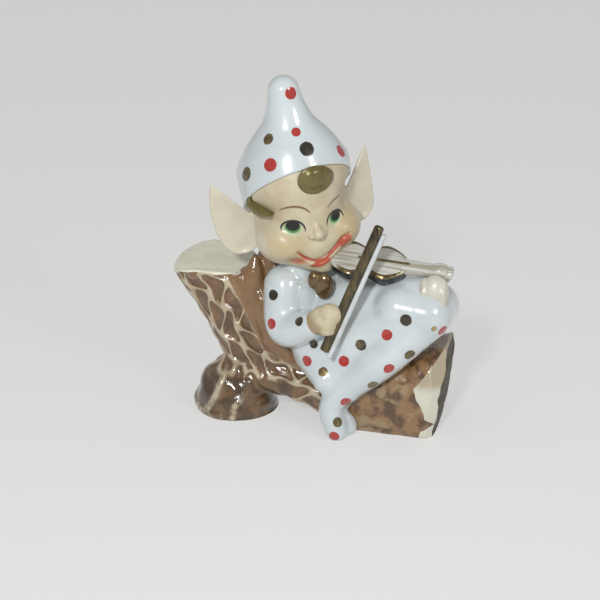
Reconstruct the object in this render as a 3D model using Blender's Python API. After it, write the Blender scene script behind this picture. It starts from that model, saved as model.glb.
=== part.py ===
# A slip-cast, glazed figurine: an elf sits back on a hewn tree and plays the violin.
#
# The real thing left its mould as one piece, so the model is one closed body. Its forms are pressed
# together like clay, carved, fused into one skin and set down on a flat base. The front faces -Y,
# the tree's stump is at -X and the knees are at +X. Lengths are in metres, angles in degrees.

import math

import bmesh
import bpy
import numpy as np
from mathutils import Euler, Matrix, Vector

# The tree: a leaning stump, a waist, a root, a bridge under the elf, and a log with a hewn end
STUMP_HEIGHT = 0.0450
STUMP_WIDTH = 0.0260
STUMP_DEPTH = 0.0252
STUMP_LEAN = 0.0142
SPLINTER_HEIGHT = 0.0060
WAIST_WIDTH = 0.0178
WAIST_DEPTH = 0.0224
WAIST_HEIGHT = 0.0175
ROOT_WIDTH = 0.0260
ROOT_DEPTH = 0.0252
ROOT_HEIGHT = 0.0120
BRIDGE_THICKNESS = 0.0124
BRIDGE_DEPTH = 0.0260
ARCH_HEIGHT = 0.0050
BRIDGE_REACH = 0.0244
LOG_LENGTH = 0.0332
LOG_HEIGHT = 0.0267
LOG_DEPTH = 0.0300
LOG_LEAN = 0.23
REST_RADIUS = 0.0060
SEAT_HEIGHT = 0.0165
HEWN_CUT = 0.0092

# The bark: scoops in a staggered net of ridges
SCOOP_WIDTH = 0.0066
SCOOP_LENGTH = 0.0110
SCOOP_DEPTH = 0.0012

# The elf's body and legs
TORSO_LENGTH = 0.0165
CHEST_RADIUS = 0.0090
HIP_RADIUS = 0.0085
THIGH_LENGTH = 0.0350
THIGH_RADIUS = 0.0086
KNEE_RADIUS = 0.0077
SHIN_LENGTH = 0.0385
CALF_RADIUS = 0.0064
ANKLE_RADIUS = 0.0038
FOOT_LENGTH = 0.0088
TOE_RADIUS = 0.0036
LEG_SPACING = 0.0110

# The arms, from the shoulder to the hand
SHOULDER_RADIUS = 0.0062
UPPER_ARM_LENGTH = 0.0125
ELBOW_RADIUS = 0.0058
FOREARM_LENGTH = 0.0112
WRIST_RADIUS = 0.0043
HAND_RADIUS = 0.0042
FAR_HAND_RADIUS = 0.0050
BUTTON_RADIUS = 0.0036

# The head, its hat and its ears
NECK_LENGTH = 0.0251
HEAD_WIDTH = 0.0300
HEAD_DEPTH = 0.0296
HEAD_HEIGHT = 0.0310
CHEEK_RADIUS = 0.0084
CHIN_RADIUS = 0.0044
NOSE_RADIUS = 0.0019
MOUTH_WIDTH = 0.0150
HAT_HEIGHT = 0.0308
HAT_WIDTH = 0.0332
HAT_BRIM_HEIGHT = 0.0112
HAT_BRIM_SLOPE = 0.74
EAR_LENGTH = 0.0165
EAR_WIDTH = 0.0150
EAR_THICKNESS = 0.0024
LOCK_WIDTH = 0.0140

# The violin and its bow
VIOLIN_BODY_LENGTH = 0.0240
VIOLIN_LOWER_BOUT = 0.0128
VIOLIN_WAIST = 0.0086
VIOLIN_UPPER_BOUT = 0.0116
VIOLIN_RIBS = 0.0030
VIOLIN_ARCH = 0.0009
VIOLIN_NECK_LENGTH = 0.0090
VIOLIN_NECK_WIDTH = 0.0040
SCROLL_RADIUS = 0.0022
BOW_LENGTH = 0.0425
BOW_WIDTH = 0.0040
BOW_THICKNESS = 0.0024

# The clay is fused on a grid this fine, and then thinned to this many triangles
FUSE_STEP = 0.00055
TRIANGLES = 11400


def heading(turn, rise):
    # The unit vector turned from +X towards the front by turn, and raised by rise
    turn = math.radians(turn)
    rise = math.radians(rise)
    return Vector((math.cos(turn) * math.cos(rise), -math.sin(turn) * math.cos(rise), math.sin(rise)))


# Where the body bends: each place follows from the one before it and a length
HIP = Vector((0.0071, -0.0060, SEAT_HEIGHT + 0.93 * HIP_RADIUS))
CHEST = HIP + TORSO_LENGTH * heading(-163, 66)
SHOULDER = CHEST + 1.21 * SHOULDER_RADIUS * heading(134, 28)
ELBOW = SHOULDER + UPPER_ARM_LENGTH * heading(70, -65)
WRIST = ELBOW + FOREARM_LENGTH * heading(29, 20)
HAND = WRIST + 1.45 * HAND_RADIUS * heading(23, 27)
NEAR_HIP = HIP + Vector((0.0, -0.25 * LEG_SPACING, 0.0))
FAR_HIP = HIP + Vector((0.0, 0.75 * LEG_SPACING, 0.0))
NEAR_KNEE = NEAR_HIP + THIGH_LENGTH * heading(4, 24)
FAR_KNEE = FAR_HIP + THIGH_LENGTH * heading(4, 21)
NEAR_ANKLE = NEAR_KNEE + SHIN_LENGTH * heading(164.5, -46)
NEAR_TOE = NEAR_ANKLE + FOOT_LENGTH * heading(43, -76)
FAR_TOE = NEAR_TOE + Vector((0.75 * TOE_RADIUS, 0.95 * TOE_RADIUS, 0.0))
HEAD_CENTRE = CHEST + NECK_LENGTH * heading(150, 89)
HEAD_TURN = Euler((math.radians(2), math.radians(-10), math.radians(32)), "XYZ").to_matrix().to_4x4()
HEAD_POSE = Matrix.Translation(HEAD_CENTRE) @ HEAD_TURN
VIOLIN_TAIL = HEAD_CENTRE + Vector((0.30 * HEAD_WIDTH, -0.37 * HEAD_DEPTH, -0.375 * HEAD_HEIGHT))


def violin_pose():
    # The violin's own frame: X runs from its tail to its scroll, Y across it, Z out of its top plate
    along = heading(-5, 3)
    across = heading(90, 60).cross(along).normalized()
    turned = Matrix((along, across, along.cross(across))).transposed().to_4x4()
    return Matrix.Translation(VIOLIN_TAIL) @ turned


VIOLIN_POSE = violin_pose()
NECK_END = VIOLIN_BODY_LENGTH + VIOLIN_NECK_LENGTH
FAR_HAND = VIOLIN_POSE @ Vector((0.93 * NECK_END, 0.0, -1.72 * FAR_HAND_RADIUS))


def unit_ball():
    # The corners of a round ball of radius 1
    bm = bmesh.new()
    bmesh.ops.create_icosphere(bm, subdivisions=3, radius=1.0)
    corners = [vert.co.copy() for vert in bm.verts]
    bm.free()
    return corners


BALL = unit_ball()
HERE = Matrix.Identity(4)


def add(clay, bm):
    # Moves a finished form into the lump of clay, facing outwards
    bmesh.ops.recalc_face_normals(bm, faces=bm.faces)
    mesh = bpy.data.meshes.new("form")
    bm.to_mesh(mesh)
    bm.free()
    clay.from_mesh(mesh)
    bpy.data.meshes.remove(mesh)


def press(clay, balls, pose=HERE):
    # Adds the skin stretched round some balls, each a centre and a radius or a centre and three radii
    bm = bmesh.new()
    for centre, radius in balls:
        radii = Vector(radius) if hasattr(radius, "__len__") else Vector((radius,) * 3)
        for corner in BALL:
            bm.verts.new(pose @ (Vector(centre) + corner * radii))
    skin = bmesh.ops.convex_hull(bm, input=bm.verts)
    inner = {part for part in skin["geom_interior"] if isinstance(part, bmesh.types.BMVert)}
    bmesh.ops.delete(bm, geom=list(inner), context="VERTS")
    add(clay, bm)


def limb(clay, stations, pose=HERE):
    # Adds a limb through its stations, as one skin round each pair of neighbours
    for pair in zip(stations, stations[1:]):
        press(clay, pair, pose)


def slab(clay, outline, thickness, pose):
    # Adds a plate: an outline of X and Y, pushed down from Z = 0 by its thickness
    bm = bmesh.new()
    face = bm.faces.new([bm.verts.new((x, y, 0.0)) for x, y in outline])
    pushed = bmesh.ops.extrude_face_region(bm, geom=[face])
    lower = [part for part in pushed["geom"] if isinstance(part, bmesh.types.BMVert)]
    bmesh.ops.translate(bm, verts=lower, vec=(0.0, 0.0, -thickness))
    bmesh.ops.transform(bm, matrix=pose, verts=bm.verts)
    add(clay, bm)


def smooth_rows(rows, count):
    # A smooth curve through rows of numbers, each span a cubic, read at evenly spaced places
    rows = np.array(rows, dtype=float)
    padded = np.vstack([2 * rows[0] - rows[1], rows, 2 * rows[-1] - rows[-2]])
    place = np.linspace(0, len(rows) - 1, count)
    span = np.minimum(place.astype(int), len(rows) - 2)
    t = (place - span)[:, None]
    a = padded[span]
    b = padded[span + 1]
    c = padded[span + 2]
    d = padded[span + 3]
    bend = (2 * a - 5 * b + 4 * c - d) * t**2 + (3 * b - a - 3 * c + d) * t**3
    return 0.5 * (2 * b + (c - a) * t + bend)


def loft(clay, stations, lean=0.0):
    # Adds a closed tube through stations, each a centre, a half width, a half depth and a squareness,
    # which is 2 for an oval section and more for a squarer one
    curve = smooth_rows([(*centre, *rest) for centre, *rest in stations], 12 * len(stations))
    turns = np.linspace(0, 2 * math.pi, 60, endpoint=False)
    cosines = np.cos(turns)
    sines = np.sin(turns)
    tangents = np.gradient(curve[:, :3], axis=0)
    bm = bmesh.new()
    rings = []
    for station, tangent in zip(curve.tolist(), tangents):
        tangent = Vector(tangent).normalized()
        facing = Vector((0.0, -1.0, 0.0))
        facing = (facing - facing.dot(tangent) * tangent).normalized()
        side = facing.cross(tangent)
        across = station[3] * np.sign(cosines) * np.abs(cosines) ** (2 / station[5])
        outwards = station[4] * np.sign(sines) * np.abs(sines) ** (2 / station[5])
        ring = []
        for x, y in zip(across.tolist(), outwards.tolist()):
            corner = Vector(station[:3]) + x * side + y * facing
            corner.x += lean * (corner.z - SEAT_HEIGHT) * max(0.0, station[0] - HIP.x) / LOG_LENGTH
            ring.append(bm.verts.new(corner))
        rings.append(ring)
    for lower, upper in zip(rings, rings[1:]):
        for index, corner in enumerate(lower):
            bm.faces.new((lower[index - 1], corner, upper[index], upper[index - 1]))
    bm.faces.new(rings[0])
    bm.faces.new(rings[-1])
    add(clay, bm)


def trunk_line():
    # The tree's own line, from above its broken top through the waist and the bridge to the seat.
    # A station is a centre, a half width, a half depth and a squareness
    wide = 0.5 * STUMP_WIDTH
    deep = 0.5 * STUMP_DEPTH
    thick = 0.5 * BRIDGE_THICKNESS
    waist = Vector((-0.0134, -0.0010, WAIST_HEIGHT))
    top = Vector((waist.x - STUMP_LEAN, 0.0, STUMP_HEIGHT))
    crown = top + 0.22 * (top - waist)
    bridge = Vector((waist.x + 0.58 * BRIDGE_REACH, waist.y, ARCH_HEIGHT + thick))
    seat = Vector((waist.x + BRIDGE_REACH, waist.y, SEAT_HEIGHT - 1.2 * thick))
    return [
        (crown, 1.03 * wide, 1.02 * deep, 2.2),
        (top, wide, deep, 2.2),
        (top.lerp(waist, 0.41), 0.87 * wide, 0.93 * deep, 2.2),
        (waist, 0.5 * WAIST_WIDTH, 0.5 * WAIST_DEPTH, 2.5),
        (bridge, thick, 0.5 * BRIDGE_DEPTH, 3.0),
        (seat, 1.3 * thick, 0.54 * BRIDGE_DEPTH, 3.0),
    ]


def add_trunk(clay):
    # The stump, the waist and the bridge in one, and the flared root
    loft(clay, trunk_line())
    waist = trunk_line()[3][0]
    foot = waist + Vector((-0.0070, -0.0030, -WAIST_HEIGHT))
    wide = 0.5 * ROOT_WIDTH
    deep = 0.5 * ROOT_DEPTH
    root = [
        (waist + Vector((0.0, 0.0, 0.0025)), 0.58 * wide, 0.70 * deep, 2.0),
        (foot.lerp(waist, 0.48) + Vector((0.0, 0.0, 0.3 * ROOT_HEIGHT)), 0.71 * wide, 0.83 * deep, 2.0),
        (foot + Vector((0.0, 0.0, 0.42 * ROOT_HEIGHT)), 0.97 * wide, deep, 2.0),
        (foot - Vector((0.0, 0.0, 0.25 * ROOT_HEIGHT)), wide, deep, 2.0),
    ]
    loft(clay, root)
    press(clay, [(foot.lerp(waist, 0.8), 0.42 * wide), (waist + Vector((0.0044, 0.0, -0.0025)), 0.38 * wide)])


def log_end():
    # The middle of the log's sawn end
    seat = trunk_line()[-1][0]
    return Vector((seat.x + LOG_LENGTH, 0.0, 0.5 * LOG_HEIGHT))


def add_log(clay):
    # The log that the elf sits on: flat below, and taller towards its sawn end, which leans out.
    # Its sections are centred low, so that they are still wide at the floor
    seat = trunk_line()[-1][0]
    stations = []
    for share, top in ((-0.05, 0.98 * SEAT_HEIGHT), (0.50, 0.82 * LOG_HEIGHT), (1.0, LOG_HEIGHT)):
        low = 0.39 * top
        middle = Vector((seat.x + share * LOG_LENGTH, 0.0, low))
        stations.append((middle, top - low, 0.5 * LOG_DEPTH * (0.95 + 0.05 * share), 3.6))
    loft(clay, stations, LOG_LEAN)


def add_rests(clay):
    # The splinter on the stump's rim, and the wood that the elf's back and side lean on
    top = trunk_line()[1][0]
    rim = top + Vector((0.50 * STUMP_WIDTH, -0.26 * STUMP_DEPTH, 0.0))
    low = rim - Vector((0.0, 0.0, SPLINTER_HEIGHT))
    spike = rim + Vector((0.0016, 0.0008, 0.90 * SPLINTER_HEIGHT))
    thick = 0.53 * SPLINTER_HEIGHT
    limb(clay, [(low, thick), (low.lerp(spike, 0.6), 0.7 * thick), (spike, 0.25 * thick)])
    shade = Vector((-0.0040, -0.0020, 0.0340))
    behind = rim + Vector((0.0048, 0.0060, 0.0030))
    limb(clay, [(behind, 0.77 * REST_RADIUS), (shade, 1.08 * REST_RADIUS), (HIP, 0.83 * REST_RADIUS)])
    seat = trunk_line()[-1][0]
    side = [
        (rim + Vector((-0.0008, 0.0016, -0.0020)), 0.63 * REST_RADIUS),
        (shade - Vector((0.0040, 0.0040, 0.0040)), 0.97 * REST_RADIUS),
        (seat + Vector((-0.0150, -0.0040, 0.0090)), 1.03 * REST_RADIUS),
        (seat + Vector((-0.0050, -0.0040, 0.0030)), REST_RADIUS),
    ]
    limb(clay, side)


def add_legs(clay):
    # Both legs, drawn up: the thighs rise to the knees over the log, and the shins come back down.
    # The suit's cloth is stretched between them, and between the thighs and the chest
    for hip, knee in ((NEAR_HIP, NEAR_KNEE), (FAR_HIP, FAR_KNEE)):
        limb(clay, [(hip, HIP_RADIUS), (hip.lerp(knee, 0.5), THIGH_RADIUS), (knee, KNEE_RADIUS)])
    lap = [(place, 0.8 * THIGH_RADIUS) for place in (NEAR_HIP, FAR_HIP, NEAR_KNEE, FAR_KNEE)]
    press(clay, lap)
    calf_top = NEAR_KNEE + Vector((-0.1 * KNEE_RADIUS, -0.1 * KNEE_RADIUS, -0.3 * KNEE_RADIUS))
    calf = calf_top.lerp(NEAR_ANKLE, 0.5)
    shin = [
        (calf_top, 0.85 * KNEE_RADIUS),
        (calf, CALF_RADIUS),
        (NEAR_ANKLE, ANKLE_RADIUS),
        (NEAR_TOE, TOE_RADIUS),
    ]
    limb(clay, shin)
    forward = Vector((0.0, -0.0010, 0.0))
    skirt = [
        (NEAR_HIP + forward, 0.86 * THIGH_RADIUS),
        (NEAR_HIP.lerp(NEAR_KNEE, 0.8) + forward, 0.86 * THIGH_RADIUS),
        (NEAR_KNEE.lerp(NEAR_ANKLE, 0.84), 1.2 * ANKLE_RADIUS),
        (calf, 0.86 * CALF_RADIUS),
    ]
    press(clay, skirt)
    bib = [
        (NEAR_HIP, 0.82 * THIGH_RADIUS),
        (NEAR_HIP.lerp(NEAR_KNEE, 0.9), 0.82 * THIGH_RADIUS),
        (CHEST + forward, 0.62 * CHEST_RADIUS),
        (FAR_HAND - Vector((0.0030, 0.0, 0.0020)), 0.62 * CHEST_RADIUS),
    ]
    press(clay, bib)
    heel = NEAR_ANKLE + Vector((0.6 * TOE_RADIUS, 0.9 * TOE_RADIUS, 0.0))
    limb(clay, [(FAR_KNEE, 0.8 * KNEE_RADIUS), (heel, 0.9 * ANKLE_RADIUS), (FAR_TOE, 0.85 * TOE_RADIUS)])


def add_body(clay):
    # The torso and both arms: the near hand holds the bow and the far one the violin's neck
    belly = HIP.lerp(CHEST, 0.5)
    limb(clay, [(HIP, 1.1 * HIP_RADIUS), (belly, 0.97 * CHEST_RADIUS), (CHEST, CHEST_RADIUS)])
    press(clay, [(CHEST, 0.75 * CHEST_RADIUS), (HEAD_CENTRE, 0.65 * CHEST_RADIUS)])
    far_side = CHEST + Vector((0.0, 0.4 * LEG_SPACING, 0.0))
    back = [(far_side, 0.9 * CHEST_RADIUS), (CHEST, CHEST_RADIUS), (FAR_HIP, HIP_RADIUS), (HIP, HIP_RADIUS)]
    press(clay, back)
    arm = [(SHOULDER, SHOULDER_RADIUS), (ELBOW, ELBOW_RADIUS), (WRIST, WRIST_RADIUS), (HAND, HAND_RADIUS)]
    limb(clay, arm)
    web = [*arm[:2], (CHEST, HIP_RADIUS), (HIP, HIP_RADIUS)]
    press(clay, [(place, 0.72 * radius) for place, radius in web])
    far_shoulder = CHEST + CHEST_RADIUS * heading(-25, 20)
    far_elbow = far_shoulder.lerp(FAR_HAND, 0.55) + Vector((0.0, 0.0, -0.45 * CHEST_RADIUS))
    palm = (0.94 * FAR_HAND_RADIUS, 0.94 * FAR_HAND_RADIUS, 1.28 * FAR_HAND_RADIUS)
    limb(clay, [(far_shoulder, 0.8 * SHOULDER_RADIUS), (far_elbow, 0.86 * ELBOW_RADIUS), (FAR_HAND, palm)])
    press(clay, [(FAR_HAND, FAR_HAND_RADIUS), (FAR_KNEE.lerp(NEAR_KNEE, 0.5), 0.5 * KNEE_RADIUS)])
    press(clay, [(HAND, 0.6 * HAND_RADIUS), (WRIST, 0.6 * WRIST_RADIUS), (belly, 0.4 * CHEST_RADIUS)])
    button = CHEST + 1.35 * CHEST_RADIUS * heading(52, 26)
    press(clay, [(button, (BUTTON_RADIUS, 0.5 * BUTTON_RADIUS, BUTTON_RADIUS)), (CHEST, 0.3 * CHEST_RADIUS)])


def add_head(clay):
    # The skull with its cheeks, chin and muzzle
    wide = 0.5 * HEAD_WIDTH
    deep = 0.5 * HEAD_DEPTH
    tall = 0.5 * HEAD_HEIGHT
    press(clay, [((0.0, 0.03 * deep, 0.19 * tall), (wide, deep, tall))], HEAD_POSE)
    cheeks = [(side * (wide - 0.88 * CHEEK_RADIUS), -0.30 * deep, -0.245 * tall) for side in (-1, 1)]
    chin = ((0.0, -0.58 * deep, -0.62 * tall), CHIN_RADIUS)
    muzzle = ((0.0, -0.51 * deep, -0.43 * tall), 0.74 * CHEEK_RADIUS)
    press(clay, [(cheek, CHEEK_RADIUS) for cheek in cheeks], HEAD_POSE)
    for cheek in cheeks:
        press(clay, [(cheek, 0.97 * CHEEK_RADIUS), chin], HEAD_POSE)
        press(clay, [(cheek, 0.97 * CHEEK_RADIUS), muzzle], HEAD_POSE)
    press(clay, [muzzle, ((0.0, -0.2 * deep, 0.13 * tall), 0.76 * wide)], HEAD_POSE)


def add_face(clay):
    # The nose, the curled lock on the brow and the lock at the temple
    wide = 0.5 * HEAD_WIDTH
    deep = 0.5 * HEAD_DEPTH
    tall = 0.5 * HEAD_HEIGHT
    bridge = (0.0, -0.85 * deep, 0.13 * tall)
    tip = (0.0, -0.99 * deep, -0.10 * tall)
    press(clay, [(bridge, 0.6 * NOSE_RADIUS), (tip, NOSE_RADIUS)], HEAD_POSE)
    lock = 0.5 * LOCK_WIDTH
    brow = Vector((0.28 * wide, -0.58 * deep, 0.81 * tall))
    lean = Euler((math.radians(-36), 0.0, math.radians(26)), "XYZ")
    curl = Matrix.Translation(brow) @ lean.to_matrix().to_4x4()
    press(clay, [((0.0, 0.0, 0.0), (lock, 0.34 * lock, 0.74 * lock))], HEAD_POSE @ curl)
    temple = [
        ((-0.95 * wide, 0.20 * deep, 0.60 * tall), 0.11 * lock),
        ((-0.93 * wide, -0.04 * deep, 0.49 * tall), 0.24 * lock),
        ((-0.88 * wide, -0.30 * deep, 0.41 * tall), 0.26 * lock),
        ((-0.79 * wide, -0.54 * deep, 0.36 * tall), 0.11 * lock),
    ]
    limb(clay, temple, HEAD_POSE)


def add_hat(clay):
    # The pointed cap: wide at its brim, hollowed on the way up, and round at its tip. Its stations
    # are shares of the height, counted from the brim, and of the half width there
    half = 0.5 * HAT_WIDTH
    profile = ((-0.45, 0.94), (-0.09, 0.99), (0.05, 1.0), (0.15, 0.98), (0.31, 0.825), (0.40, 0.705))
    profile += ((0.48, 0.578), (0.57, 0.452), (0.71, 0.337), (0.85, 0.271), (0.94, 0.20), (0.99, 0.07))
    shares, widths = smooth_rows(profile, 40).T
    bm = bmesh.new()
    rings = []
    for share, width in zip(shares, widths):
        level = HAT_BRIM_HEIGHT + share * HAT_HEIGHT
        ring = []
        for turn in np.linspace(0, 2 * math.pi, 60, endpoint=False):
            corner = Vector((half * width * math.cos(turn), 0.97 * half * width * math.sin(turn), level))
            corner.x += 0.0005 * max(0.0, share)
            corner.y += 0.0012 - 0.0014 * min(1.0, max(0.0, share))
            ring.append(bm.verts.new(HEAD_POSE @ corner))
        rings.append(ring)
    for lower, upper in zip(rings, rings[1:]):
        for index, corner in enumerate(lower):
            bm.faces.new((lower[index - 1], corner, upper[index], upper[index - 1]))
    bm.faces.new(rings[0])
    bm.faces.new(rings[-1])
    brim = HEAD_POSE @ Vector((0.0, 0.0, HAT_BRIM_HEIGHT))
    down = HEAD_POSE.to_3x3() @ Vector((0.0, -HAT_BRIM_SLOPE, -1.0)).normalized()
    cut_off(bm, brim, down)
    add(clay, bm)


def add_ears(clay):
    # Two long pointed ears: thin blades that stand off the head at the level of the eyes
    thin = 0.5 * EAR_THICKNESS
    for side in (-1, 1):
        root = Vector((side * 0.45 * HEAD_WIDTH, 0.03 * HEAD_DEPTH, 0.05 * HEAD_HEIGHT))
        tip = root + Vector((side * 0.64 * EAR_LENGTH, 0.26 * EAR_LENGTH, 0.72 * EAR_LENGTH))
        edge = root + Vector((side * 0.60 * EAR_LENGTH, 0.24 * EAR_LENGTH, 0.0))
        belly = root + Vector((side * 0.44 * EAR_LENGTH, 0.18 * EAR_LENGTH, -0.62 * EAR_WIDTH))
        upper = root + Vector((0.0, 0.0, 0.48 * EAR_WIDTH))
        lower = root - Vector((0.0, 0.0, 0.60 * EAR_WIDTH))
        blade = [(tip, 0.5 * thin), (edge, 0.8 * thin), (belly, thin), (upper, thin), (lower, 1.2 * thin)]
        press(clay, blade, HEAD_POSE)


def violin_outline():
    # Two bouts in one rounded outline, drawn in to the waist between them
    steps = 40
    waist_place = 0.52
    waist_reach = 0.12
    side = []
    for step in range(1, steps):
        share = step / steps
        bout = VIOLIN_LOWER_BOUT + (VIOLIN_UPPER_BOUT - VIOLIN_LOWER_BOUT) * share
        waist = (bout - VIOLIN_WAIST) * math.exp(-(((share - waist_place) / waist_reach) ** 2))
        ends = min(1.0, 1.12 * math.sqrt(math.sin(math.pi * share)))
        side.append((share * VIOLIN_BODY_LENGTH, 0.5 * (bout * ends - waist)))
    near = [(x, -half) for x, half in side]
    far = [(x, half) for x, half in reversed(side)]
    return [(0.0, 0.0), *near, (VIOLIN_BODY_LENGTH, 0.0), *far]


def add_violin(clay):
    # The violin on the far shoulder, and the bow drawn across it
    length = VIOLIN_BODY_LENGTH
    slab(clay, violin_outline(), VIOLIN_RIBS, VIOLIN_POSE)
    arch = [
        ((0.25 * length, 0.0, 0.0), (0.20 * length, 0.38 * VIOLIN_LOWER_BOUT, VIOLIN_ARCH)),
        ((0.75 * length, 0.0, 0.0), (0.20 * length, 0.38 * VIOLIN_UPPER_BOUT, VIOLIN_ARCH)),
    ]
    limb(clay, arch, VIOLIN_POSE)
    half = 0.5 * VIOLIN_NECK_WIDTH
    neck = [((0.72 * length, 0.0, 0.0005), (half, half, 0.6 * half)), ((NECK_END, 0.0, -0.0001), 0.8 * half)]
    limb(clay, neck, VIOLIN_POSE)
    scroll = [
        ((NECK_END - 0.9 * SCROLL_RADIUS, 0.0, -0.0004), 0.7 * SCROLL_RADIUS),
        ((NECK_END, 0.0, -0.0006), 0.95 * SCROLL_RADIUS),
        ((NECK_END + 0.8 * SCROLL_RADIUS, 0.0, -0.0013), SCROLL_RADIUS),
    ]
    limb(clay, scroll, VIOLIN_POSE)
    hand = VIOLIN_POSE.inverted() @ FAR_HAND
    under = -VIOLIN_RIBS
    thick = SCROLL_RADIUS
    stay = [((0.15 * length, 0.0, under), thick), ((0.9 * length, 0.0, under), thick), (hand, 1.35 * thick)]
    press(clay, stay, VIOLIN_POSE)
    bow = heading(-15, 68)
    low = HAND + Vector((0.85 * HAND_RADIUS, -0.0005, 0.0)) - 0.25 * BOW_LENGTH * bow
    size = (0.5 * BOW_WIDTH, 0.5 * BOW_THICKNESS, 0.3 * BOW_WIDTH)
    press(clay, [(low, size), (low + bow * BOW_LENGTH, size)])


def cut_off(bm, place, out):
    # Removes what lies beyond the plane at place that faces out, and closes the cut
    everything = bm.verts[:] + bm.edges[:] + bm.faces[:]
    cut = bmesh.ops.bisect_plane(bm, geom=everything, plane_co=place, plane_no=out, clear_outer=True)
    rim = [part for part in cut["geom_cut"] if isinstance(part, bmesh.types.BMEdge)]
    bmesh.ops.holes_fill(bm, edges=rim)


def new_lump(name, *builders):
    # An object holding the forms that the builders add, still overlapping
    clay = bmesh.new()
    for build in builders:
        build(clay)
    mesh = bpy.data.meshes.new(name)
    clay.to_mesh(mesh)
    clay.free()
    lump = bpy.data.objects.new(name, mesh)
    bpy.context.scene.collection.objects.link(lump)
    return lump


def settle(lump):
    # Applies the object's modifiers to its mesh
    graph = bpy.context.evaluated_depsgraph_get()
    mesh = bpy.data.meshes.new_from_object(lump.evaluated_get(graph))
    lump.modifiers.clear()
    lump.data = mesh


def fuse(lump, softening):
    # Makes the overlapping forms one skin, and softens the creases as glaze does
    remesh = lump.modifiers.new("fuse", "REMESH")
    remesh.mode = "VOXEL"
    remesh.voxel_size = FUSE_STEP
    soften = lump.modifiers.new("soften", "SMOOTH")
    soften.factor = 0.5
    soften.iterations = softening
    settle(lump)


def read_points(mesh):
    flat = np.empty(3 * len(mesh.vertices))
    mesh.vertices.foreach_get("co", flat)
    return flat.reshape(-1, 3)


def write_points(mesh, points):
    mesh.vertices.foreach_set("co", points.ravel())
    mesh.update()


def along_trunk(points):
    # For each point: how far along the tree's line it lies, and its angle round the line, counted
    # from the front and upwards
    line = np.array([station[0] for station in trunk_line()])
    steps = np.diff(line, axis=0)
    lengths = np.linalg.norm(steps, axis=1)
    starts = np.concatenate([[0.0], np.cumsum(lengths)[:-1]])
    best = np.full(len(points), 1.0)
    along = np.zeros(len(points))
    angle = np.zeros(len(points))
    for start, origin, step, length in zip(starts, line, steps, lengths):
        share = np.clip((points - origin) @ step / length**2, 0.0, 1.0)
        offset = points - origin - share[:, None] * step
        distance = np.linalg.norm(offset, axis=1)
        side = np.cross(step / length, (0.0, 1.0, 0.0))
        nearer = distance < best
        best = np.where(nearer, distance, best)
        along = np.where(nearer, start + share * length, along)
        angle = np.where(nearer, np.arctan2(offset @ side, -offset[:, 1]), angle)
    return along, angle


def carve_bark(tree):
    # Presses scoops into the trunk: rows of almonds, every other row shifted by half a step.
    # The side by the elf, the log and the root's foot stay smooth
    mesh = tree.data
    points = read_points(mesh)
    along, angle = along_trunk(points)
    across = angle * 0.5 * STUMP_DEPTH * 0.88 / SCOOP_WIDTH
    down = along / SCOOP_LENGTH
    near = np.full(len(points), 2.0)
    for shift in (0.0, 0.5):
        sideways = 2 * np.abs(across + shift - np.round(across + shift))
        lengthways = 2 * np.abs(down + shift - np.round(down + shift))
        near = np.minimum(near, sideways**1.4 + lengthways**1.6)
    rim = 0.74
    floor = 0.42
    scoop = np.clip((rim - near) / (rim - floor), 0.0, 1.0)
    normals = np.empty(3 * len(mesh.vertices))
    mesh.vertices.foreach_get("normal", normals)
    normals = normals.reshape(-1, 3)
    barked = (angle < math.radians(28)) & (points[:, 0] < 0.0120)
    depth = SCOOP_DEPTH * scoop * scoop * (3.0 - 2.0 * scoop) * barked
    write_points(mesh, points - normals * depth[:, None])


def carve_smile(head):
    # Draws the mouth in as a groove, wider than the chin and turned up at both corners
    mesh = head.data
    points = read_points(mesh)
    local = (points - np.array(HEAD_POSE.translation)) @ np.array(HEAD_POSE.to_3x3())
    half = 0.5 * MOUTH_WIDTH
    reach = local[:, 0] / half
    line = (-0.70 + 0.28 * reach**2) * 0.5 * HEAD_HEIGHT
    fade = np.clip(1.2 - np.abs(reach), 0.0, 1.0)
    groove = np.exp(-(((local[:, 2] - line) / 0.0009) ** 2)) * fade
    front = local[:, 1] < -0.35 * HEAD_DEPTH
    inward = np.array(HEAD_POSE.to_3x3() @ Vector((0.0, 1.0, 0.0)))
    write_points(mesh, points + inward * (0.0008 * groove * front)[:, None])


def hew(tree):
    # Cuts the stump's top to two tilted planes, and the log's sawn end to two that face the front
    bm = bmesh.new()
    bm.from_mesh(tree.data)
    top = trunk_line()[1][0]
    for shift, slope in ((-0.0028, (-0.17, -0.20)), (-0.0008, (0.02, -0.18))):
        place = top + Vector((shift, 0.0, 0.0007))
        cut_off(bm, place, Vector((*slope, 1.0)).normalized())
    end = log_end()
    for turn, rise, height, cut in ((38, 22, 0.36, 0.5 * HEWN_CUT), (50, -6, -0.19, 0.35 * HEWN_CUT)):
        out = heading(turn, rise)
        corner = end + Vector((0.0014, -0.5 * LOG_DEPTH, height * LOG_HEIGHT))
        cut_off(bm, corner - cut * out, out)
    bmesh.ops.triangulate(bm, faces=bm.faces)
    bm.to_mesh(tree.data)
    bm.free()


def thin_out(lump):
    # Brings the mesh down to its number of triangles, most of them where it curves
    lump.modifiers.new("triangles", "TRIANGULATE")
    settle(lump)
    thin = lump.modifiers.new("thin", "DECIMATE")
    thin.ratio = TRIANGLES / len(lump.data.polygons)
    settle(lump)


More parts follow.
